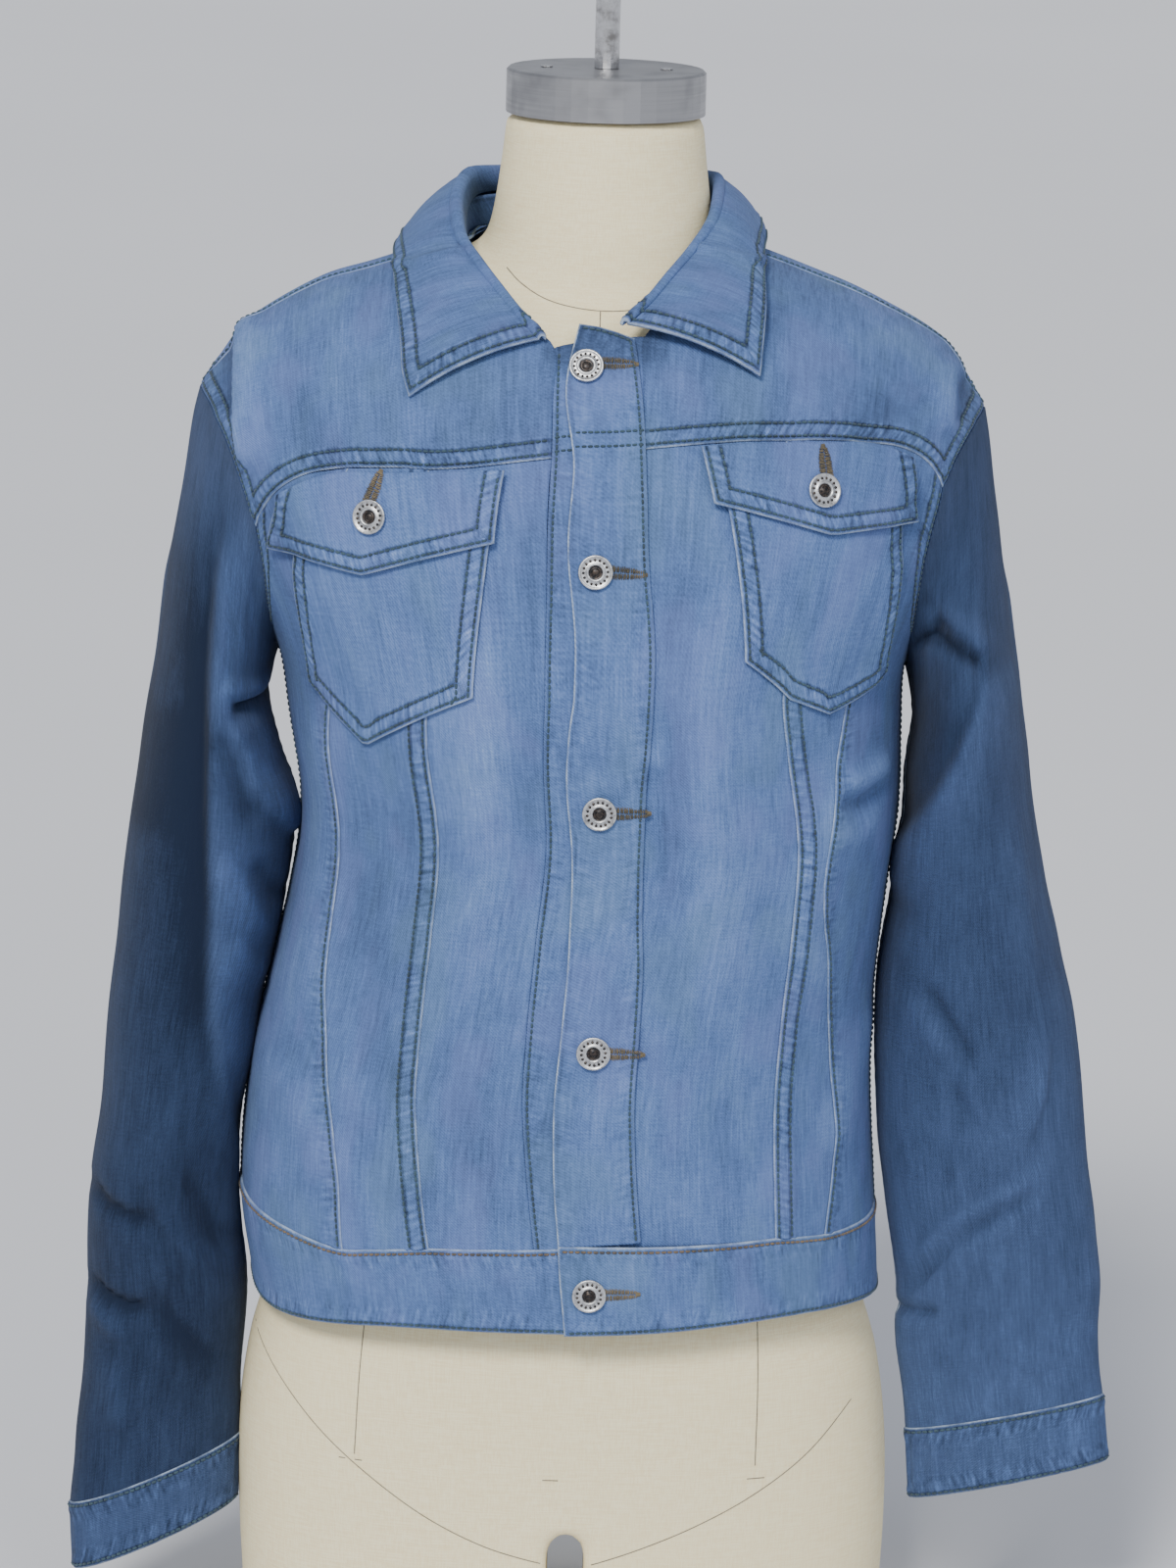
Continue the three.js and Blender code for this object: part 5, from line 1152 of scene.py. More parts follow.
def collar_grid():
    """Middle surface of the collar's fall, up the inside, over the roll and down to the outer edge."""
    t = stops(COLLAR_LENGTH)
    start, inside, heart, out, fold, edge = collar_stations(t)
    path = [lerp(start, inside, STAND_SHARE) + unit(inside - start) * STAND_GAP]
    for k in range(ROLL_STEPS + 1):
        turn = math.pi * k / ROLL_STEPS
        p = heart - out * (fold * math.cos(turn))[:, None]
        p[:, 2] += fold * math.sin(turn)
        path.append(p)
    origin = path[-1]
    chord = edge - origin
    side = np.cross([0, 0, 1], out)
    up = unit(np.cross(chord, side))
    up = np.where(up[:, 2:] < 0, -up, up)
    for f in stops(FALL_WIDE, False, True)[1:]:
        path.append(lifted(origin + chord * f + up * (BULGE * 4 * f * (1 - f))))
    grid = np.stack(path, 0)
    near_ridge = 0.5 * np.exp(-((grid[:, 1:-1, 1:2] - AXIS_Y) / SHOULDER_REACH) ** 4)
    for _ in range(SHOULDER_ROUNDS):
        grid[:, 1:-1] += near_ridge * (0.5 * (grid[:, :-2] + grid[:, 2:]) - grid[:, 1:-1])
    return grid, t


collar_mid, collar_t = collar_grid()
ripple = waves(collar_t * 4.2, 8)[None, :] * np.linspace(0, 1, len(collar_mid))[:, None] ** 2
collar_normal = unit(np.cross(np.gradient(collar_mid, axis=0), np.gradient(collar_mid, axis=1)))
if collar_normal[-6, len(collar_t) // 2] @ np.array([0, 1, 0]) < 0:
    collar_normal = -collar_normal
collar_mid = collar_mid + collar_normal * (np.maximum(ripple, -0.2) * 0.8)[..., None]
collar_run = np.cumsum(np.linalg.norm(np.diff(collar_mid, axis=0, prepend=collar_mid[:1]), axis=2), axis=0)
collar_grain = np.stack([np.broadcast_to(collar_t * COLLAR_LENGTH, collar_run.shape), collar_run], -1)
collar = Cloth("collar_denim", collar_mid - collar_normal * DOUBLE / 2, collar_normal, DOUBLE,
               dict.fromkeys(("start", "end", "top"), "double"), collar_grain, -0.07, seed=81)
keep(collar).stitch("collar")

stand_t = np.linspace(2 / 26, 25 / 26, STAND_COLS)
stand_start, stand_inside = collar_stations(stand_t)[:2]
stand_grid = np.stack([lerp(stand_start, stand_inside, f) for f in np.linspace(0, STAND_SHARE, STAND_ROWS)], 0)
stand_normal = unit(np.cross(np.gradient(stand_grid, axis=0), np.gradient(stand_grid, axis=1)))
stand_grain = np.stack(np.meshgrid(stand_t * COLLAR_LENGTH, np.linspace(0, 20, STAND_ROWS)), -1)
stand_under = stand_grid - stand_normal * CLOTH / 2
keep(Cloth("collar_stand_denim", stand_under, stand_normal, CLOTH, {"top": "line"}, stand_grain, -0.1, seed=82))

# ------------------------------------------------------------------ sleeves and cuffs
# Rings down each sleeve: x and z of the outer and the inner side, y of the middle, half the depth.
# The last two rings are the cuff's.
SLEEVE_COLUMNS = "ox oz ix iz mid deep"
SLEEVES = {
    "right": table(
        SLEEVE_COLUMNS,
        (-203, 612, -162, 494, 5, 57), (-207, 588, -164, 482, 5, 62), (-212, 556, -164, 469, 4, 66),
        (-217, 518, -162, 456, 3, 68), (-222, 482, -158, 442, 2, 67), (-228, 440, -151, 420, 1, 64),
        (-234, 396, -152, 388, 0, 60), (-238, 352, -158, 350, 0, 57), (-242, 310, -167, 312, -1, 53),
        (-245, 270, -173, 275, -2, 49), (-249, 228, -176.5, 238, -3, 44), (-252, 188, -176.5, 206, -4, 39),
        (-252, 150, -172, 174, -5, 34), (-253, 112, -171, 142, -6, 29), (-257, 78, -173, 112, -7, 25),
        (-259, 44, -173, 84, -8, 22), (-257, 8, -174, 48, -9, 22)),
    "left": table(
        SLEEVE_COLUMNS,
        (197, 611, 162, 494, 5, 57), (201, 586, 164, 482, 5, 62), (206, 552, 165, 469, 4, 66),
        (212, 516, 164, 456, 3, 67), (218, 476, 162, 440, 2, 64), (225, 434, 161, 415, 1, 60),
        (234, 390, 158, 384, 0, 54), (243, 354, 153.5, 352, -2, 47), (252, 315, 151, 318, -4, 39),
        (257, 277, 152, 283, -6, 32), (262, 240, 155.5, 250, -7, 27), (267, 204, 160, 214, -8, 22),
        (270, 176, 165, 180, -9, 18), (271, 152, 168, 148, -10, 14), (272, 134, 171, 120, -10, 12),
        (274, 117, 174, 96, -10, 11), (278, 81, 177, 58, -10, 11)),
}
RING = 18                     # places round a ring, from the underarm by the front and back again
SPLIT = 11                    # the place of the seam behind, between the front and the back piece
SLEEVE_ROWS = 16
SLEEVE_LONG, SLEEVE_ROUND, CUFF_TALL = 560, 400, 41
FRONT_SPACING, ROW_SPACING, CUFF_SPACING, CUFF_COLS = 3.0, 3.4, 4.0, 96
CAP_BLEND = (0, 0.3, 0.62, 0.88, 1)    # how far each ring from the armhole follows its table
SLEEVE_GAP = 0.7              # how far the sleeve's first ring lies outside the armhole seam

# x and z of the pressed fold down the front of the right sleeve
PRESSED = [(-185, 540), (-187, 490), (-188, 425), (-186, 372), (-187, 320), (-184, 285)]
# x and z of the sleeves' creases as seen from the front; those behind follow, as on the left sleeve.
SLEEVE_CREASES = {
    "right": [
        crease([(-180, 585), *PRESSED, (-176, 250)], 3.4, (20, 2.6), 0.14),
        crease([(-190, 560), (-193, 490), (-193, 425), (-192, 372), (-192, 320), (-188, 280)],
               -2.9, (2.6, 14), 0.2),
        crease([(-181, 477), (-172, 478), (-162, 477), (-150, 475)], -5.6, (2.8, 4.5), 0.12),
        crease([(-184, 492), (-173, 486), (-160, 487)], 2.6, (3, 6), 0.2),
        crease([(-180, 474), (-172, 456), (-168, 438), (-160, 423), (-147, 401)], 3.6, (14, 2.8), 0.14),
        crease([(-186, 468), (-178, 448), (-173, 430), (-165, 414)], -2.4, (2.8, 8), 0.2),
        crease([(-187, 404), (-174, 386), (-166, 364), (-158, 350)], 1.74, (2.6, 7), 0.3),
        crease([(-168, 400), (-160, 380), (-152, 366)], -1.89, (3, 6), 0.3),
        crease([(-180, 360), (-170, 340), (-160, 330)], 1.3, (3, 9), 0.3),
        crease([(-188, 300), (-180, 250), (-174, 206), (-168, 170)], 2.17, (2.8, 9), 0.3),
        crease([(-226, 232), (-214, 204), (-198, 180), (-176, 158)], -2.17, (2.6, 9), 0.35),
        crease([(-222, 222), (-206, 193), (-190, 172), (-172, 156)], 1.89, (3, 8), 0.35),
        crease([(-216, 176), (-204, 150), (-190, 134), (-172, 124)], -1.89, (2.6, 10), 0.35),
        crease([(-200, 238), (-186, 200), (-170, 182)], -1.74, (3, 9), 0.35),
        crease([(-252, 222), (-241, 212), (-226, 207), (-214, 208)], -2.9, (2.6, 5), 0.25),
        crease([(-252, 170), (-243, 162), (-230, 158), (-216, 160)], -3.19, (2.6, 5), 0.25),
        crease([(-250, 158), (-240, 148), (-228, 140)], 1.74, (3, 6), 0.3),
        crease([(-236, 130), (-232, 100), (-234, 84)], 1.3, (3, 9), 0.3),
    ],
    "left": [
        crease([(160, 512), (172, 519), (184, 514), (197, 508)], -4.8, (4.5, 2.8), 0.14),
        crease([(160, 532), (174, 532), (190, 524), (200, 508)], 2.4, (6, 3), 0.2),
        crease([(164, 545), (170, 535), (180, 522)], -2.32, (3, 5), 0.25),
        crease([(199, 510), (196, 488), (184, 455), (167, 418), (148, 378)], 3.0, (18, 2.6), 0.12),
        crease([(192, 492), (180, 458), (162, 420), (146, 388)], -1.4, (2.6, 12), 0.2),
        crease([(172, 345), (182, 328), (196, 306), (202, 290)], -2.17, (2.6, 8), 0.3),
        crease([(166, 336), (177, 318), (190, 298)], 1.59, (3, 8), 0.3),
        crease([(188, 292), (196, 276), (206, 258)], -1.59, (2.8, 7), 0.3),
        crease([(246, 238), (226, 222), (193, 199), (172, 172), (160, 150)], -2.46, (3, 12), 0.3),
        crease([(248, 250), (222, 231), (192, 211), (164, 178)], 2.17, (12, 3.2), 0.3),
        crease([(150, 166), (162, 162), (178, 161), (190, 163)], -3.19, (2.8, 4), 0.25),
        crease([(236, 320), (234, 280), (222, 244)], 1.74, (3, 10), 0.35),
        crease([(214, 440), (222, 380), (230, 330)], 1.3, (4, 14), 0.35),
    ],
}
# Painted shade on the side of a fold that turns away, its low x side: line, softness, step in tone, and the
# shares of its height over which it fades in at the foot and at the head
SLEEVE_PAINTED_SHADES = {
    "right": [
        ([(-180, 590), *PRESSED, (-174, 200)], 2.5, -0.20, (0.55, 0.12)),
        ([(-152, 482), (-165, 478), (-171, 455), (-168, 438), (-160, 423), (-147, 401)],
         4, -0.10, (0.2, 0.2)),
    ],
    "left": [
        ([(199, 514), (196, 488), (184, 455), (167, 418), (148, 378)], 2.5, -0.07, (0.3, 0.2)),
    ],
}


def shade(x, z, lines):
    """Painted shade: change in tone beside each line, on the side of lower x."""
    total = np.zeros_like(x)
    for points, soft, step, fade in lines:
        path = np.array(sorted(points, key=lambda p: p[1]))
        share = (z - path[0, 1]) / (path[-1, 1] - path[0, 1])
        near = smoothstep(0, fade[0], share) * smoothstep(0, fade[1], 1 - share)
        at = np.interp(z, path[:, 1], path[:, 0])
        total = total + step * near * smoothstep(-soft, soft, at - x)
    return total


SLEEVE_BACK_CREASES = [
    crease([(176, 520), (194, 470), (196, 400), (200, 330)], -4.5, (8, 14)),
    crease([(186, 440), (206, 410), (222, 380)], 3.0, 9),
    crease([(172, 430), (188, 402), (206, 372)], -3.4, 7),
    crease([(174, 352), (192, 330), (214, 312)], -3.0, 7),
    crease([(180, 336), (200, 312), (222, 296)], 2.6, 8),
    crease([(184, 250), (206, 236), (230, 232)], -2.8, 7),
    crease([(182, 180), (204, 170), (228, 172)], -2.4, 7),
    crease([(214, 560), (210, 490), (212, 420)], 2.4, 12),
]


def armhole(e, yoke, back_upper, back_edge, sign, u):
    """Points of the armhole at ring places u, counted from the underarm up the front and down the back."""
    u = np.mod(u, RING)
    lines = [
        (0, 3, e["lines"][0][SIDE_ROWS:], False), (3, 9, yoke["start"], False),
        (9, 15, back_upper, True), (15, 18, back_edge[SIDE_ROWS:], True)]
    places = np.zeros((len(u), 2))
    for low, high, edge, back in lines:
        pick = (u >= low) & (u <= high)
        share = (u[pick] - low) / (high - low)
        places[pick] = curve_at(edge * SCALE_AV, 1 - share if back else share) / SCALE_AV
    return on_body(places, CLOTH / 2)[0] + [sign * SLEEVE_GAP, 0, 0]


def row_of(word, k):
    return {key: column[k] for key, column in SLEEVES[word].items()}


def heart_of(row):
    return np.array([(row["ox"] + row["ix"]) / 2, row["mid"], (row["oz"] + row["iz"]) / 2])


def ring_point(row, u):
    """Points of a sleeve's ring at places u."""
    turn = 2 * math.pi * np.asarray(u)[:, None] / RING
    out = np.array([(row["ox"] - row["ix"]) / 2, 0, (row["oz"] - row["iz"]) / 2])
    return heart_of(row) - out * np.cos(turn) - np.array([0, row["deep"], 0]) * np.sin(turn)


NARROW = 22                   # creases are lower where the sleeve is flatter than this
SLEEVE_WEAR_AND_PAINTED_SHADING = (0.3, 0.75)     # how much the creases pale and darken the cloth, partly as wear and partly as painted light and shade, behind and in front


def sleeve_grid(word, sign, hole_at, u, j):
    """Points of the sleeve's middle surface at ring places u and rows j, with its creases."""
    hole = hole_at(u)
    hole_heart = hole_at(np.array([0.0, RING / 2])).mean(0)
    rings, hearts = [hole], [hole_heart]
    for k in range(SLEEVE_ROWS):
        row = row_of(word, k)
        share = CAP_BLEND[min(k + 1, len(CAP_BLEND) - 1)]
        heart = heart_of(row)
        rings.append(lerp(hole + heart - hole_heart, ring_point(row, u), share))
        hearts.append(heart)
    rings = np.array(rings)
    stacked = rings.reshape(len(rings), -1)
    grid = np.stack([curve_rows(stacked, jj) for jj in j]).reshape(len(j), len(u), 3)
    heart = np.stack([curve_rows(np.array(hearts), jj) for jj in j])
    out = unit(grid - heart[:, None])
    front = smoothstep(-12, 12, heart[:, None, 1] - grid[..., 1])
    x, z = grid[..., 0], grid[..., 2]
    height = front * crease_height(x, z, SLEEVE_CREASES[word])
    height = height + (1 - front) * crease_height(x * sign, z, SLEEVE_BACK_CREASES)
    broad = 0.7 * waves((z + 0.5 * x) / 130, 5 + sign) + 0.2 * waves((z - 0.8 * x) / 60, 9 + sign)
    taper = (smoothstep(0, 2.5, j) * smoothstep(0, 0.7, SLEEVE_ROWS - j))[:, None]
    narrow = np.clip(np.linalg.norm(grid - heart[:, None], axis=2) / NARROW, 0.35, 1)
    moved = (height + broad) * taper * narrow
    # Paler ridges and darker troughs, partly wear and partly painted light and shade, and painted shade beside the
    # folds
    fade = lerp(*SLEEVE_WEAR_AND_PAINTED_SHADING, front) * crease_wear_and_painted_shading(height) + front * shade(x, z, SLEEVE_PAINTED_SHADES[word])
    return grid + out * moved[..., None], fade


def curve_rows(rows, at):
    """Uniform Catmull-Rom value between rows of an array."""
    last = len(rows) - 1
    k = int(min(max(math.floor(at), 0), last - 1))
    t = at - k
    a, b, c, d = rows[max(k - 1, 0)], rows[k], rows[k + 1], rows[min(k + 2, last)]
    return b + 0.5 * t * (c - a + t * (2 * a - 5 * b + 4 * c - d + t * (3 * (b - c) + d - a)))


def grid_normals(grid, centre_line, loop=False):
    """Normals of a ring-like grid, pointing away from its centre line."""
    if loop:
        padded = np.concatenate([grid[:, -2:-1], grid, grid[:, 1:2]], 1)
        across = padded[:, 2:] - padded[:, :-2]
    else:
        across = np.gradient(grid, axis=1)
    normal = unit(np.cross(across, np.gradient(grid, axis=0)))
    facing = np.sum(normal * (grid - centre_line[:, None]), -1)
    return normal * np.sign(np.median(facing))


# Tone of the sleeves at rows from the armhole to the cuff: partly cloth less faded than the body, partly painted
# shade where the sleeves hang in shadow
SLEEVE_TONE_AND_PAINTED_SHADE = {
    "right": ((0, 3, 8, 11, 14, 17), (-0.46, -0.48, -0.52, -0.66, -0.72, -0.62)),
    "left": ((0, 3, 8, 12, 17), (-0.52, -0.54, -0.50, -0.40, -0.30)),
}
# Tone of the cuffs: partly cloth less faded than the body, partly painted shade, darker on the right
CUFF_TONE_AND_PAINTED_SHADE = {"right": -0.42, "left": -0.32}
PIECE_GAP, BESIDE = 0.012, 0.15        # in places round the ring: half the seam's gap, and a step for normals
ROW_GAP = 0.004                        # in rows: the gap between sleeve and cuff


def add_sleeve(word, sign, hole_at, seed):
    rows_j = np.minimum(SLEEVE_ROWS * stops(SLEEVE_LONG, spacing=ROW_SPACING), SLEEVE_ROWS - ROW_GAP)
    heart = sleeve_grid(word, sign, hole_at, np.arange(RING), rows_j)[0].mean(1)
    parts = (("front", 0, SPLIT, False, FRONT_SPACING, {}),
             ("back", SPLIT, RING, True, SPACING, {"start": "single", "end": "single"}))
    for k, (part, low, high, fine, spacing, finish) in enumerate(parts):
        width = SLEEVE_ROUND * (high - low) / RING
        u = lerp(low + PIECE_GAP, high - PIECE_GAP, stops(width, fine, fine, spacing))
        wide_u = np.concatenate([[u[0] - BESIDE], u, [u[-1] + BESIDE]])
        grid, fade = sleeve_grid(word, sign, hole_at, wide_u, rows_j)
        normal = grid_normals(grid, heart)[:, 1:-1]
        under = grid[:, 1:-1] - normal * CLOTH / 2
        grain = np.stack(np.meshgrid(u * 22.0, rows_j * 34.0), -1)
        # Tone of the sleeve with its painted shade, plus the creases' wear and painted light and shade
        tone = np.interp(rows_j, *SLEEVE_TONE_AND_PAINTED_SHADE[word])[:, None] + fade[:, 1:-1]
        cloth = Cloth(f"sleeve_{part}_{word}_denim", under, normal, CLOTH, finish, grain, tone, seed=seed + k)
        keep(cloth).stitch("sleeves", skip=("end",))


def add_cuff(word, seed):
    top, foot = row_of(word, SLEEVE_ROWS - 1), row_of(word, SLEEVE_ROWS)
    u = np.linspace(0, RING, CUFF_COLS)
    t = stops(CUFF_TALL, spacing=CUFF_SPACING)
    grid = np.array([ring_point({key: lerp(top[key], foot[key], share) for key in top}, u) for share in t])
    normal = grid_normals(grid, grid[:, :-1].mean(1), loop=True)
    inner = smoothstep(0, 0.2, t) * smoothstep(0, 0.2, 1 - t)
    grid = grid + normal * (0.5 * waves(np.mod(u, RING) * 1.3, seed + 3) * inner[:, None])[..., None]
    grain = np.stack(np.meshgrid(u * 11.0, t * CUFF_TALL), -1)
    finish = {"bottom": "single", "top": "hem"}
    cloth = Cloth(f"cuff_{word}_denim", grid - normal * DOUBLE / 2, normal, DOUBLE, finish, grain,
                  CUFF_TONE_AND_PAINTED_SHADE[word], loop=True, seed=seed + 5)
    keep(cloth).stitch("sleeves")


for word, sign, seed, e, yoke, back_upper, back_edge in (
        ("right", -1, 91, RIGHT, YOKE_R, BACK_HOLE_R, BACK_START),
        ("left", 1, 101, LEFT, YOKE_L, BACK_HOLE_L, BACK_END)):
    add_sleeve(word, sign, lambda u: armhole(e, yoke, back_upper, back_edge, sign, u), seed)
    add_cuff(word, seed)

# ------------------------------------------------------------------ building the cloth
for node, cloth in PIECES.items():
    obj = cloth.build(DENIM)
    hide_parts(node)
    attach(obj, "root")
    wide, tall, area = cloth.flat_size()

# ------------------------------------------------------------------ stitches
# Rings of a stitch: share of its length, radius, height of the middle above the cloth
STITCH_RINGS = (
    (0.0, 0.2, -0.25), (0.16, 0.46, 0.12), (0.5, 0.52, 0.26), (0.84, 0.46, 0.12), (1.0, 0.2, -0.25))
SATIN_RINGS = ((0, 0.22, -0.05), (0.2, 0.36, 0.35), (0.6, 0.38, 0.42), (1.0, 0.2, -0.2))
STITCH_SIDES = 5
STITCH_PITCH, STITCH_LONG, STITCH_THICK = 3.1, 2.7, 1.3


def ring_faces(rings, sides):
    """Faces between rings of points that follow each other."""
    return [
        (j * sides + k, j * sides + n, (j + 1) * sides + n, (j + 1) * sides + k)
        for j in range(rings - 1) for k, n in zip(range(sides), [*range(1, sides), 0])]


def circle(count):
    return 2 * math.pi * np.arange(count) / count


def thread_mesh(name, starts, ends, ups, profile, thick, material):
    """A raised tube from each start to each end."""
    side = unit(np.cross(unit(ends - starts), ups))
    rings = []
    for share, radius, height in profile:
        centre = lerp(starts, ends, share) + ups * height
        for turn in circle(STITCH_SIDES):
            rings.append(centre + (side * math.cos(turn) + ups * math.sin(turn)) * radius * thick)
    points = np.stack(rings, 1)
    local = np.array([(a, d, c, b) for a, b, c, d in ring_faces(len(profile), STITCH_SIDES)])
    faces = (local[None] + points.shape[1] * np.arange(len(points))[:, None, None]).reshape(-1, 4)
    obj = make_mesh(name, points.reshape(-1, 3), faces)
    obj.data.materials.append(material)
    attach(obj, "root")


def stitch_mesh(name, rows, material):
    starts, ends, ups = [], [], []
    for points, normals in rows:
        run = lengths(points)
        at = np.arange(0.4, run[-1] - STITCH_LONG, STITCH_PITCH)

        def pick(values, where):
            return np.stack([np.interp(where, run, values[:, k]) for k in range(3)], -1)
        starts.append(pick(points, at))
        ends.append(pick(points, at + STITCH_LONG))
        ups.append(unit(pick(normals, at + STITCH_LONG / 2)))
    thread_mesh(name, np.vstack(starts), np.vstack(ends), np.vstack(ups), STITCH_RINGS, STITCH_THICK, material)


for store, rows in STITCH_LISTS.items():
    stitch_mesh(f"stitches_{store}", rows, THREAD_WARM if store.endswith("warm") else THREAD)

# ------------------------------------------------------------------ buttons and buttonholes
# x, z, node, direction (x, z) and length of the buttonhole, and the level of the cloth below
STRIP_TOP, BAND_TOP, FLAP_TOP = OVER + CLOTH, DOUBLE + BAND_FOLD + DOUBLE, FLAP_LOW + DOUBLE - 0.4
BUTTONS = [
    (-6, 658, "button_front_1", (1, -0.03), 23, STRIP_TOP),
    (1, 563, "button_front_2", (1, -0.05), 23, STRIP_TOP),
    (6, 444, "button_front_3", (1, 0.02), 23, STRIP_TOP),
    (6, 321, "button_front_4", (1, -0.02), 23, STRIP_TOP),
    (7, 195, "button_front_5", (1, 0.03), 23, BAND_TOP),
    (-107, 584, "button_flap_right", (0.35, 1), 20, FLAP_TOP),
    (109, 601, "button_flap_left", (-0.08, 1), 18, FLAP_TOP),
]
# Radius and height of the points of each profile
FACE_PROFILE = (
    (3.6, -1.6), (3.6, -0.2), (7.6, 0.1), (8.5, 0.7), (8.6, 1.3), (8.4, 1.75), (8.0, 1.95), (7.5, 1.8),
    (7.25, 1.5), (4.75, 1.5), (4.55, 1.75), (4.2, 1.9), (3.75, 1.8), (3.4, 1.4), (3.2, 0.9))
WELL_PROFILE = ((3.25, 0.9), (2.8, 0.7), (2.1, 0.7), (1.9, 1.1), (1.2, 1.45), (0.0, 1.5))
DOT_PROFILE = ((0.72, 0), (0.576, 0.324), (0.02, 0.432))
DOT_COUNT, DOT_RING, DOT_HEIGHT, DOT_PHASE = 16, 6.0, 1.5, 0.3
FACE_SIDES, WELL_SIDES, DOT_SIDES = 48, 32, 8
BUTTON_LIFT = 0.55


def lathe(profile, sides):
    turn = circle(sides)
    rings = [np.stack([r * np.cos(turn), r * np.sin(turn), np.full(sides, h)], -1) for r, h in profile]
    return np.vstack(rings), ring_faces(len(profile), sides)


def surface_at(x, z, level):
    """Point and normal on the front of the jacket."""
    at = place(x, z, -1)
    under, normal = on_body(at[None], np.array([level], float))
    return under[0], normal[0]


def frame_of(normal, way):
    """Axes on the cloth: along the buttonhole, across it, and out of the cloth."""
    along = np.array([way[0], 0.0, way[1]])
    along = unit(along - normal * (along @ normal))
    return np.stack([along, np.cross(normal, along), normal])


def add_button(x, z, node, way, level):
    origin, normal = surface_at(x, z, level + BUTTON_LIFT)
    parts = [(*lathe(FACE_PROFILE, FACE_SIDES), 0), (*lathe(WELL_PROFILE, WELL_SIDES), 1)]
    dome, dome_faces = lathe(DOT_PROFILE, DOT_SIDES)
    for k in range(DOT_COUNT):
        turn = 2 * math.pi * (k + DOT_PHASE) / DOT_COUNT
        centre = (DOT_RING * math.cos(turn), DOT_RING * math.sin(turn), DOT_HEIGHT)
        parts.append((dome + centre, dome_faces, 1))
    faces, slots, total = [], [], 0
    for part, cells, slot in parts:
        faces += [[i + total for i in cell] for cell in cells]
        slots += [slot] * len(cells)
        total += len(part)
    points = np.vstack([part[0] for part in parts])
    obj = make_mesh(f"{node}_metal", points @ frame_of(normal, way) + origin, faces)
    obj.data.materials.append(SILVER)
    obj.data.materials.append(BUTTON_DARK)
    obj.data.polygons.foreach_set("material_index", slots)
    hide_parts(node)
    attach(obj, "root")


SATIN_COUNT, BAR_COUNT = 30, 5
HOLE_START = -1.5             # the stitches start this far before the button's middle
HOLE_HALF = (3.0, 2.5, 1.3)   # half the buttonhole's width at the button, past its rim and at the far end
HOLE_RIM = 14


def add_buttonhole(x, z, node, way, reach, level):
    """Satin stitches side by side along both sides of a buttonhole, and a bar across its far end."""
    centre, normal = surface_at(x, z, level)
    axes = frame_of(normal, way)
    along = np.linspace(HOLE_START, reach, SATIN_COUNT)
    half = np.interp(along, (0, HOLE_RIM, reach), HOLE_HALF)
    rng = np.random.default_rng(int(abs(x) * 7 + z))
    starts, ends = [], []
    for a, h in zip(along, half):
        for sign in (-1, 1):
            wobble = rng.uniform(-0.22, 0.22)
            starts.append((a + wobble, sign * 0.12))
            ends.append((a + wobble * 0.5, sign * (h + 0.75 + rng.uniform(-0.15, 0.2))))
    for k in range(BAR_COUNT):
        at, side = reach + 0.15 + 0.45 * k, 1.5 - 0.12 * k
        starts.append((at, -side))
        ends.append((at, side))

    def on_cloth(a, b):
        flat = centre + axes[0] * a + axes[1] * b
        return surface_at(flat[0], flat[2], level + THREAD_LIFT)[0]
    starts, ends = (np.array([on_cloth(a, b) for a, b in spots]) for spots in (starts, ends))
    ups = np.tile(normal, (len(starts), 1))
    thread_mesh(f"buttonhole_{node.replace('button_', '')}", starts, ends, ups, SATIN_RINGS, 1.0, HOLE_THREAD)


for x, z, node, way, reach, level in BUTTONS:
    add_button(x, z, node, way, level)
    add_buttonhole(x, z, node, way, reach, level)

# ------------------------------------------------------------------ dress form
FORM = table(
    "z right left front back",
    (-20, -168, 161, 84, 92), (40, -172, 164, 88, 98), (92, -173, 163, 93, 106), (135, -168, 157, 97, 107),
    (165, -160, 148, 97, 104), (200, -153, 140, 94, 97), (250, -138, 126, 88, 88), (310, -122, 118, 86, 80),
    (370, -119, 122, 93, 81), (430, -130, 134, 110, 88), (480, -140, 141, 120, 91), (500, -144, 144, 121, 92),
    (560, -156, 154, 119, 94), (620, -166, 163, 119, 95), (730, -168, 165, 122, 97))
FORM_SHOULDER = table(
    "x z", (-168, 620), (-160, 652), (-148, 673), (-136, 682), (-116, 689.3), (-68, 705.2), (0, 717.5),
    (68, 705.3), (116, 689), (134, 680), (146, 670), (157, 651), (165, 620))
FORM_POWER, FORM_BACK_POWER = 2.2, 1.3         # powers of the rounded shoulder, in front and behind
NECK_FOOT = 690
NECK = table("z rx ry", (NECK_FOOT, 82, 61), (701, 68, 59), (707, 61.3, 57.8), (714, 57.5, 57), (724, 55, 55),
             (745, 52, 52), (773, 49, 49))
NECK_TOP = 773
CROTCH = {"left": 8, "right": -11, "top": 57, "reach": 300}    # the slot between the thigh ends
FORM_SIDES, NECK_SIDES = 160, 96
VOXEL = 4.2


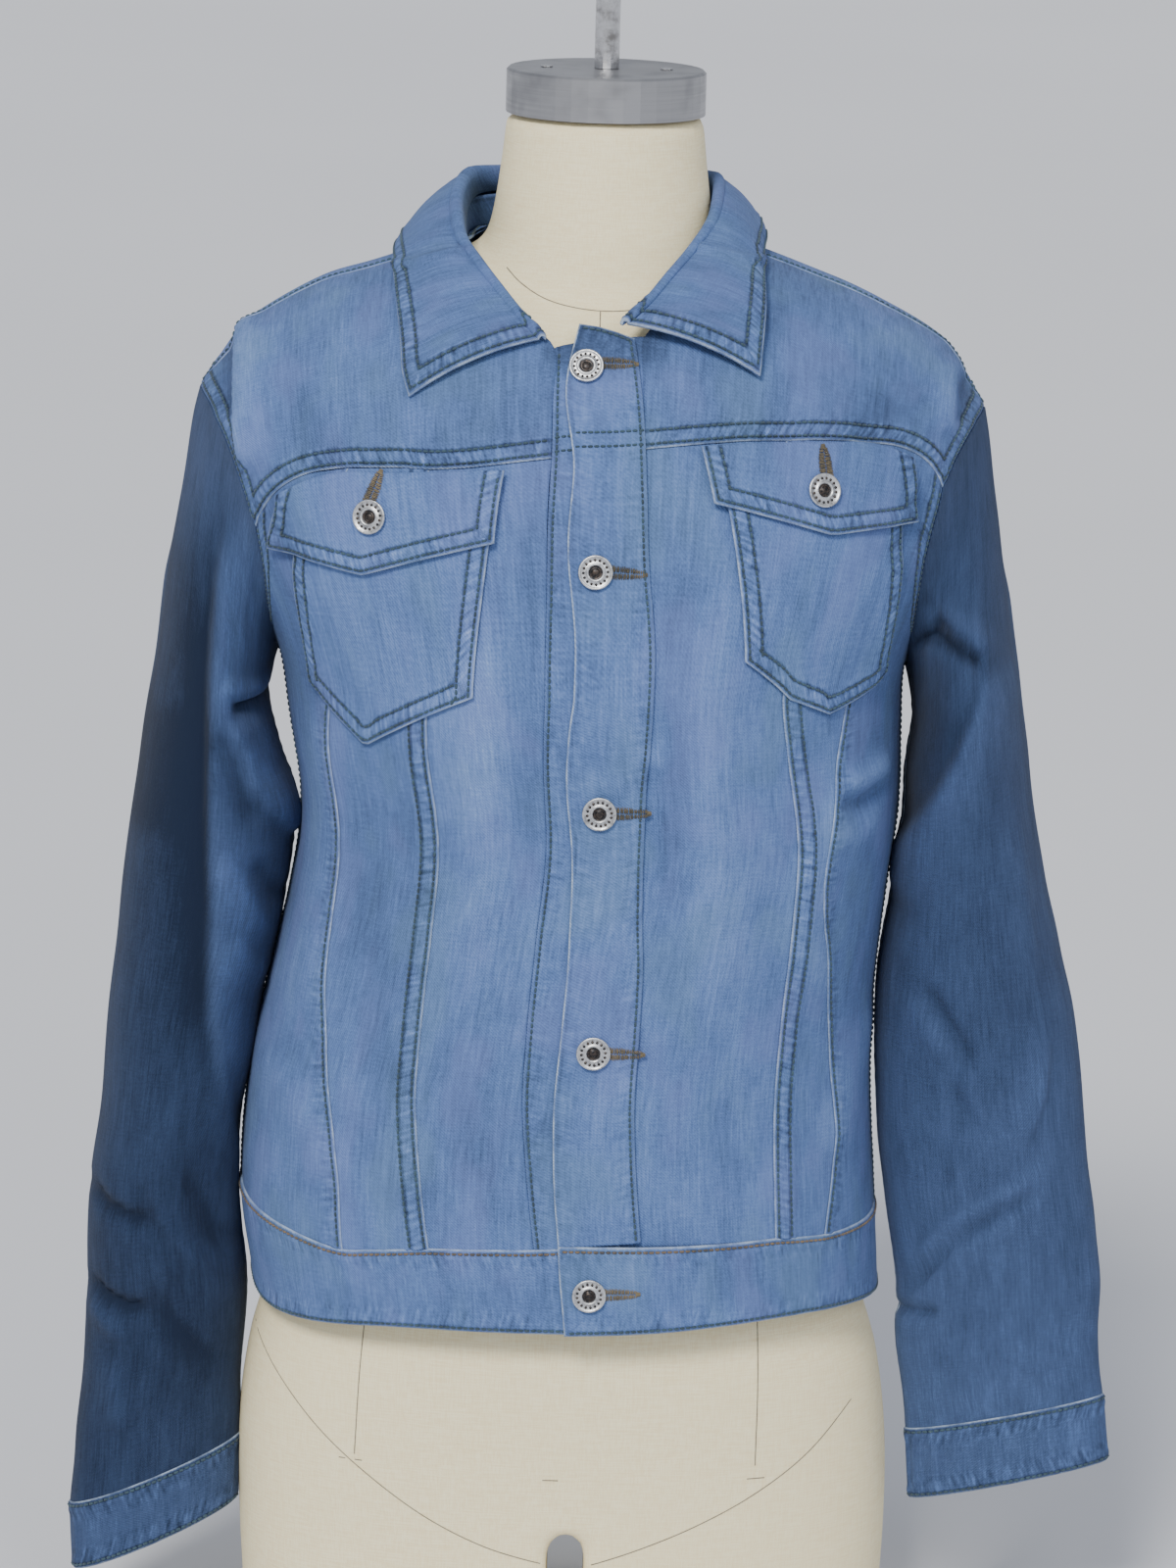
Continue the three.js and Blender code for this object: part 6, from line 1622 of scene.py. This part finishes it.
def form_ring(angles, z0, rise):
    """A level ring below the underarm, or a ring at a share of the rise from there to the shoulder."""
    rear = np.sin(angles) > 0
    power = np.where(rear, FORM_BACK_POWER, FORM_POWER)
    across = signed_power(np.cos(angles), 2 / PLAN_POWER)
    deep = signed_power(np.sin(angles), 2 / PLAN_POWER)
    z = np.full(len(angles), float(z0))
    for _ in range(SOLVE_ROUNDS):
        left, right = read(FORM, "z", "left", z), read(FORM, "z", "right", z)
        x = (left + right) / 2 + (left - right) / 2 * across
        if rise > 0:
            z = UNDERARM + (read(FORM_SHOULDER, "x", "z", x) - UNDERARM) * rise
    rounding = np.maximum(1 - rise ** power, 0) ** (1 / power) if rise > 0 else np.ones(len(angles))
    depth = np.where(rear, read(FORM, "z", "back", z) - AXIS_Y, read(FORM, "z", "front", z) + AXIS_Y)
    return np.stack([x, AXIS_Y + depth * deep * rounding, z], -1)


def loft(name, rings):
    """A closed solid through rings of points."""
    count = len(rings[0])
    faces = ring_faces(len(rings), count)
    faces.append(tuple(range(count))[::-1])
    faces.append(tuple((len(rings) - 1) * count + k for k in range(count)))
    return make_mesh(name, np.vstack(rings), faces)


def crotch_cutter():
    """The slot between the thigh ends: straight sides under a round top."""
    radius = (CROTCH["left"] - CROTCH["right"]) / 2
    middle = (CROTCH["left"] + CROTCH["right"]) / 2
    turn = np.linspace(0, math.pi, 13)
    outline = [(CROTCH["left"], BASE_Z - 10)]
    outline += [(middle + radius * math.cos(t), CROTCH["top"] - radius + radius * math.sin(t)) for t in turn]
    outline += [(CROTCH["right"], BASE_Z - 10)]
    rings = [np.array([(x, side * CROTCH["reach"] / 2, z) for x, z in outline]) for side in (1, -1)]
    return loft("crotch_cutter", rings)


def apply_modifiers(obj):
    view = bpy.context.evaluated_depsgraph_get()
    mesh = bpy.data.meshes.new_from_object(obj.evaluated_get(view))
    obj.modifiers.clear()
    obj.data = mesh


def boolean(obj, other, operation):
    change = obj.modifiers.new("join", "BOOLEAN")
    change.operation, change.object, change.solver = operation, other, "EXACT"
    apply_modifiers(obj)
    bpy.data.objects.remove(other, do_unlink=True)


def build_form():
    angles = circle(FORM_SIDES) - math.pi
    rings = [form_ring(angles, z, 0) for z in np.linspace(BASE_Z, UNDERARM, 105)]
    rings += [form_ring(angles, UNDERARM, r) for r in np.sin(np.linspace(0.04, 1, 60) * math.pi / 2)]
    obj = loft("dress_form_linen", rings)
    weld(obj)
    turn = circle(NECK_SIDES)
    neck = [np.stack([read(NECK, "z", "rx", z) * np.cos(turn), read(NECK, "z", "ry", z) * np.sin(turn),
                      np.full(NECK_SIDES, z)], -1) for z in np.linspace(NECK_FOOT, NECK_TOP, 34)]
    boolean(obj, loft("neck_part", neck), "UNION")
    boolean(obj, crotch_cutter(), "DIFFERENCE")
    remesh = obj.modifiers.new("remesh", "REMESH")
    remesh.mode, remesh.voxel_size, remesh.use_smooth_shade = "VOXEL", VOXEL * MM, True
    settle = obj.modifiers.new("settle", "SMOOTH")
    settle.factor, settle.iterations = 0.5, 5
    apply_modifiers(obj)
    obj.data.polygons.foreach_set("use_smooth", [True] * len(obj.data.polygons))
    obj.data.materials.clear()
    obj.data.materials.append(LINEN)
    return obj


form = build_form()
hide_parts("dress_form")
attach(form, "root")

# Seam lines of the form: x and z as seen from the front.
FORM_LINES = [
    [(-47, 700), (-40, 694), (-26, 687), (0, 683), (24, 685), (38, 690), (48, 698)],
    [(0, 683), (0, 660), (0, 640)],
    [(-168, 150), (-150, 128), (-128, 105), (-102, 84), (-72, 64), (-42, 50), (-14, 42)],
    [(143, 122), (120, 98), (92, 78), (62, 62), (34, 50), (12, 42)],
    [(-104, 190), (-108, 140), (-110, 95)],
    [(92, 190), (94, 140), (94, 95)],
    [(-118, 92), (-106, 92)],
    [(-14, 88), (-6, 88)],
    [(90, 88), (99, 88)],
]
LINE_HALF, LINE_LIFT, LINE_STEPS, BEFORE = 0.28, 0.12, 60, -300


def form_lines():
    """Thin flat threads on the linen, found by looking back at the form from the front."""
    tree = BVHTree.FromObject(form, bpy.context.evaluated_depsgraph_get())
    all_points = []
    for line in FORM_LINES:
        path = curve_at(line, np.linspace(0, 1, LINE_STEPS)) if len(line) > 2 else line
        hits = []
        for x, z in path:
            start = metres(np.array([x, BEFORE, z]))
            hit, normal, _, _ = tree.ray_cast(Vector(start), Vector((0, 1, 0)))
            if hit is not None:
                hits.append((np.array(hit) / MM - SHIFT, np.array(normal)))
        for (p, n), (q, m) in zip(hits[:-1], hits[1:]):
            side = unit(np.cross(q - p, n)) * LINE_HALF
            p, q = p + n * LINE_LIFT, q + m * LINE_LIFT
            all_points += [p + side, p - side, q - side, q + side]
    faces = np.arange(len(all_points)).reshape(-1, 4)
    obj = make_mesh("form_seam_lines", np.array(all_points), faces)
    weld(obj)
    obj.data.materials.append(FORM_SEAM)
    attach(obj, "root")


form_lines()

# ------------------------------------------------------------------ metal of the form
METAL = {"neck_cap": STEEL, "rod": CHROME, "cap_screw_1": CHROME, "cap_screw_2": CHROME}
for node, material in METAL.items():
    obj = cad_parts[node]
    for slot in obj.material_slots:
        slot.material = material
    for polygon in obj.data.polygons:
        polygon.use_smooth = False

# ------------------------------------------------------------------ floor, light and camera
FLOOR_HALF = 80.0             # metres; so wide that it fills the picture from every side
s = Shader("floor_pale")
mottle = s.between(s.noise(s.coordinates(), 3, 0.5, 0.7), 0.3, 0.7)
s.feed(s.surface.inputs["Base Color"], s.mix(mottle, (0.70, 0.71, 0.745), (0.72, 0.73, 0.765)))
s.set(Roughness=0.9)
corners = [(x * FLOOR_HALF, y * FLOOR_HALF, 0) for x, y in ((-1, -1), (1, -1), (1, 1), (-1, 1))]
floor_mesh = bpy.data.meshes.new("floor")
floor_mesh.from_pydata(corners, [], [(0, 1, 2, 3)])
floor = bpy.data.objects.new("floor", floor_mesh)
bpy.context.scene.collection.objects.link(floor)
floor.data.materials.append(s.material)

world = bpy.data.worlds.new("studio")
world.use_nodes = True
backdrop = world.node_tree.nodes["Background"]
backdrop.inputs["Color"].default_value = (0.84, 0.88, 0.97, 1)
backdrop.inputs["Strength"].default_value = 0.62
bpy.context.scene.world = world

MIDDLE = Vector(metres((0, 0, 430)))   # the middle of the picture
# name, kind, way from the middle of the picture in metres, size (m) or angle (degrees), power, colour
LIGHTS = [
    ("key", "SUN", (-0.42, -1.35, 1.15), 15, 2.85, (1.0, 0.982, 0.94)),
    ("soft", "AREA", (0.9, -2.4, 1.5), 1.2, 16, (0.96, 0.98, 1.0)),
]
for name, kind, at, size, power, colour in LIGHTS:
    data = bpy.data.lights.new(name, kind)
    data.energy, data.color = power, colour
    if kind == "SUN":
        data.angle = math.radians(size)
    else:
        data.shape, data.size = "DISK", size
    light = bpy.data.objects.new(name, data)
    light.location = MIDDLE + Vector(at)
    light.rotation_mode = "QUATERNION"
    light.rotation_quaternion = (-Vector(at)).to_track_quat("-Z", "Y")
    bpy.context.scene.collection.objects.link(light)

CAMERA_DISTANCE = 3.5
PICTURE_TALL = 0.8            # metres that the picture's height takes in at its middle
SENSOR = 36
ELEVATION = math.radians(12)
ROLL = math.radians(1.5)
camera_data = bpy.data.cameras.new("camera")
camera_data.sensor_width = SENSOR
camera_data.lens = SENSOR * CAMERA_DISTANCE / PICTURE_TALL
camera_data.clip_start, camera_data.clip_end = 0.1, 300
camera = bpy.data.objects.new("camera", camera_data)
back = Vector((0, -math.cos(ELEVATION), math.sin(ELEVATION)))
camera.location = MIDDLE + back * CAMERA_DISTANCE
camera.rotation_mode = "QUATERNION"
look = (-back).to_track_quat("-Z", "Y")
camera.rotation_quaternion = look @ Matrix.Rotation(ROLL, 3, "Z").to_quaternion()
bpy.context.scene.collection.objects.link(camera)
bpy.context.scene.camera = camera

bpy.context.view_layer.update()
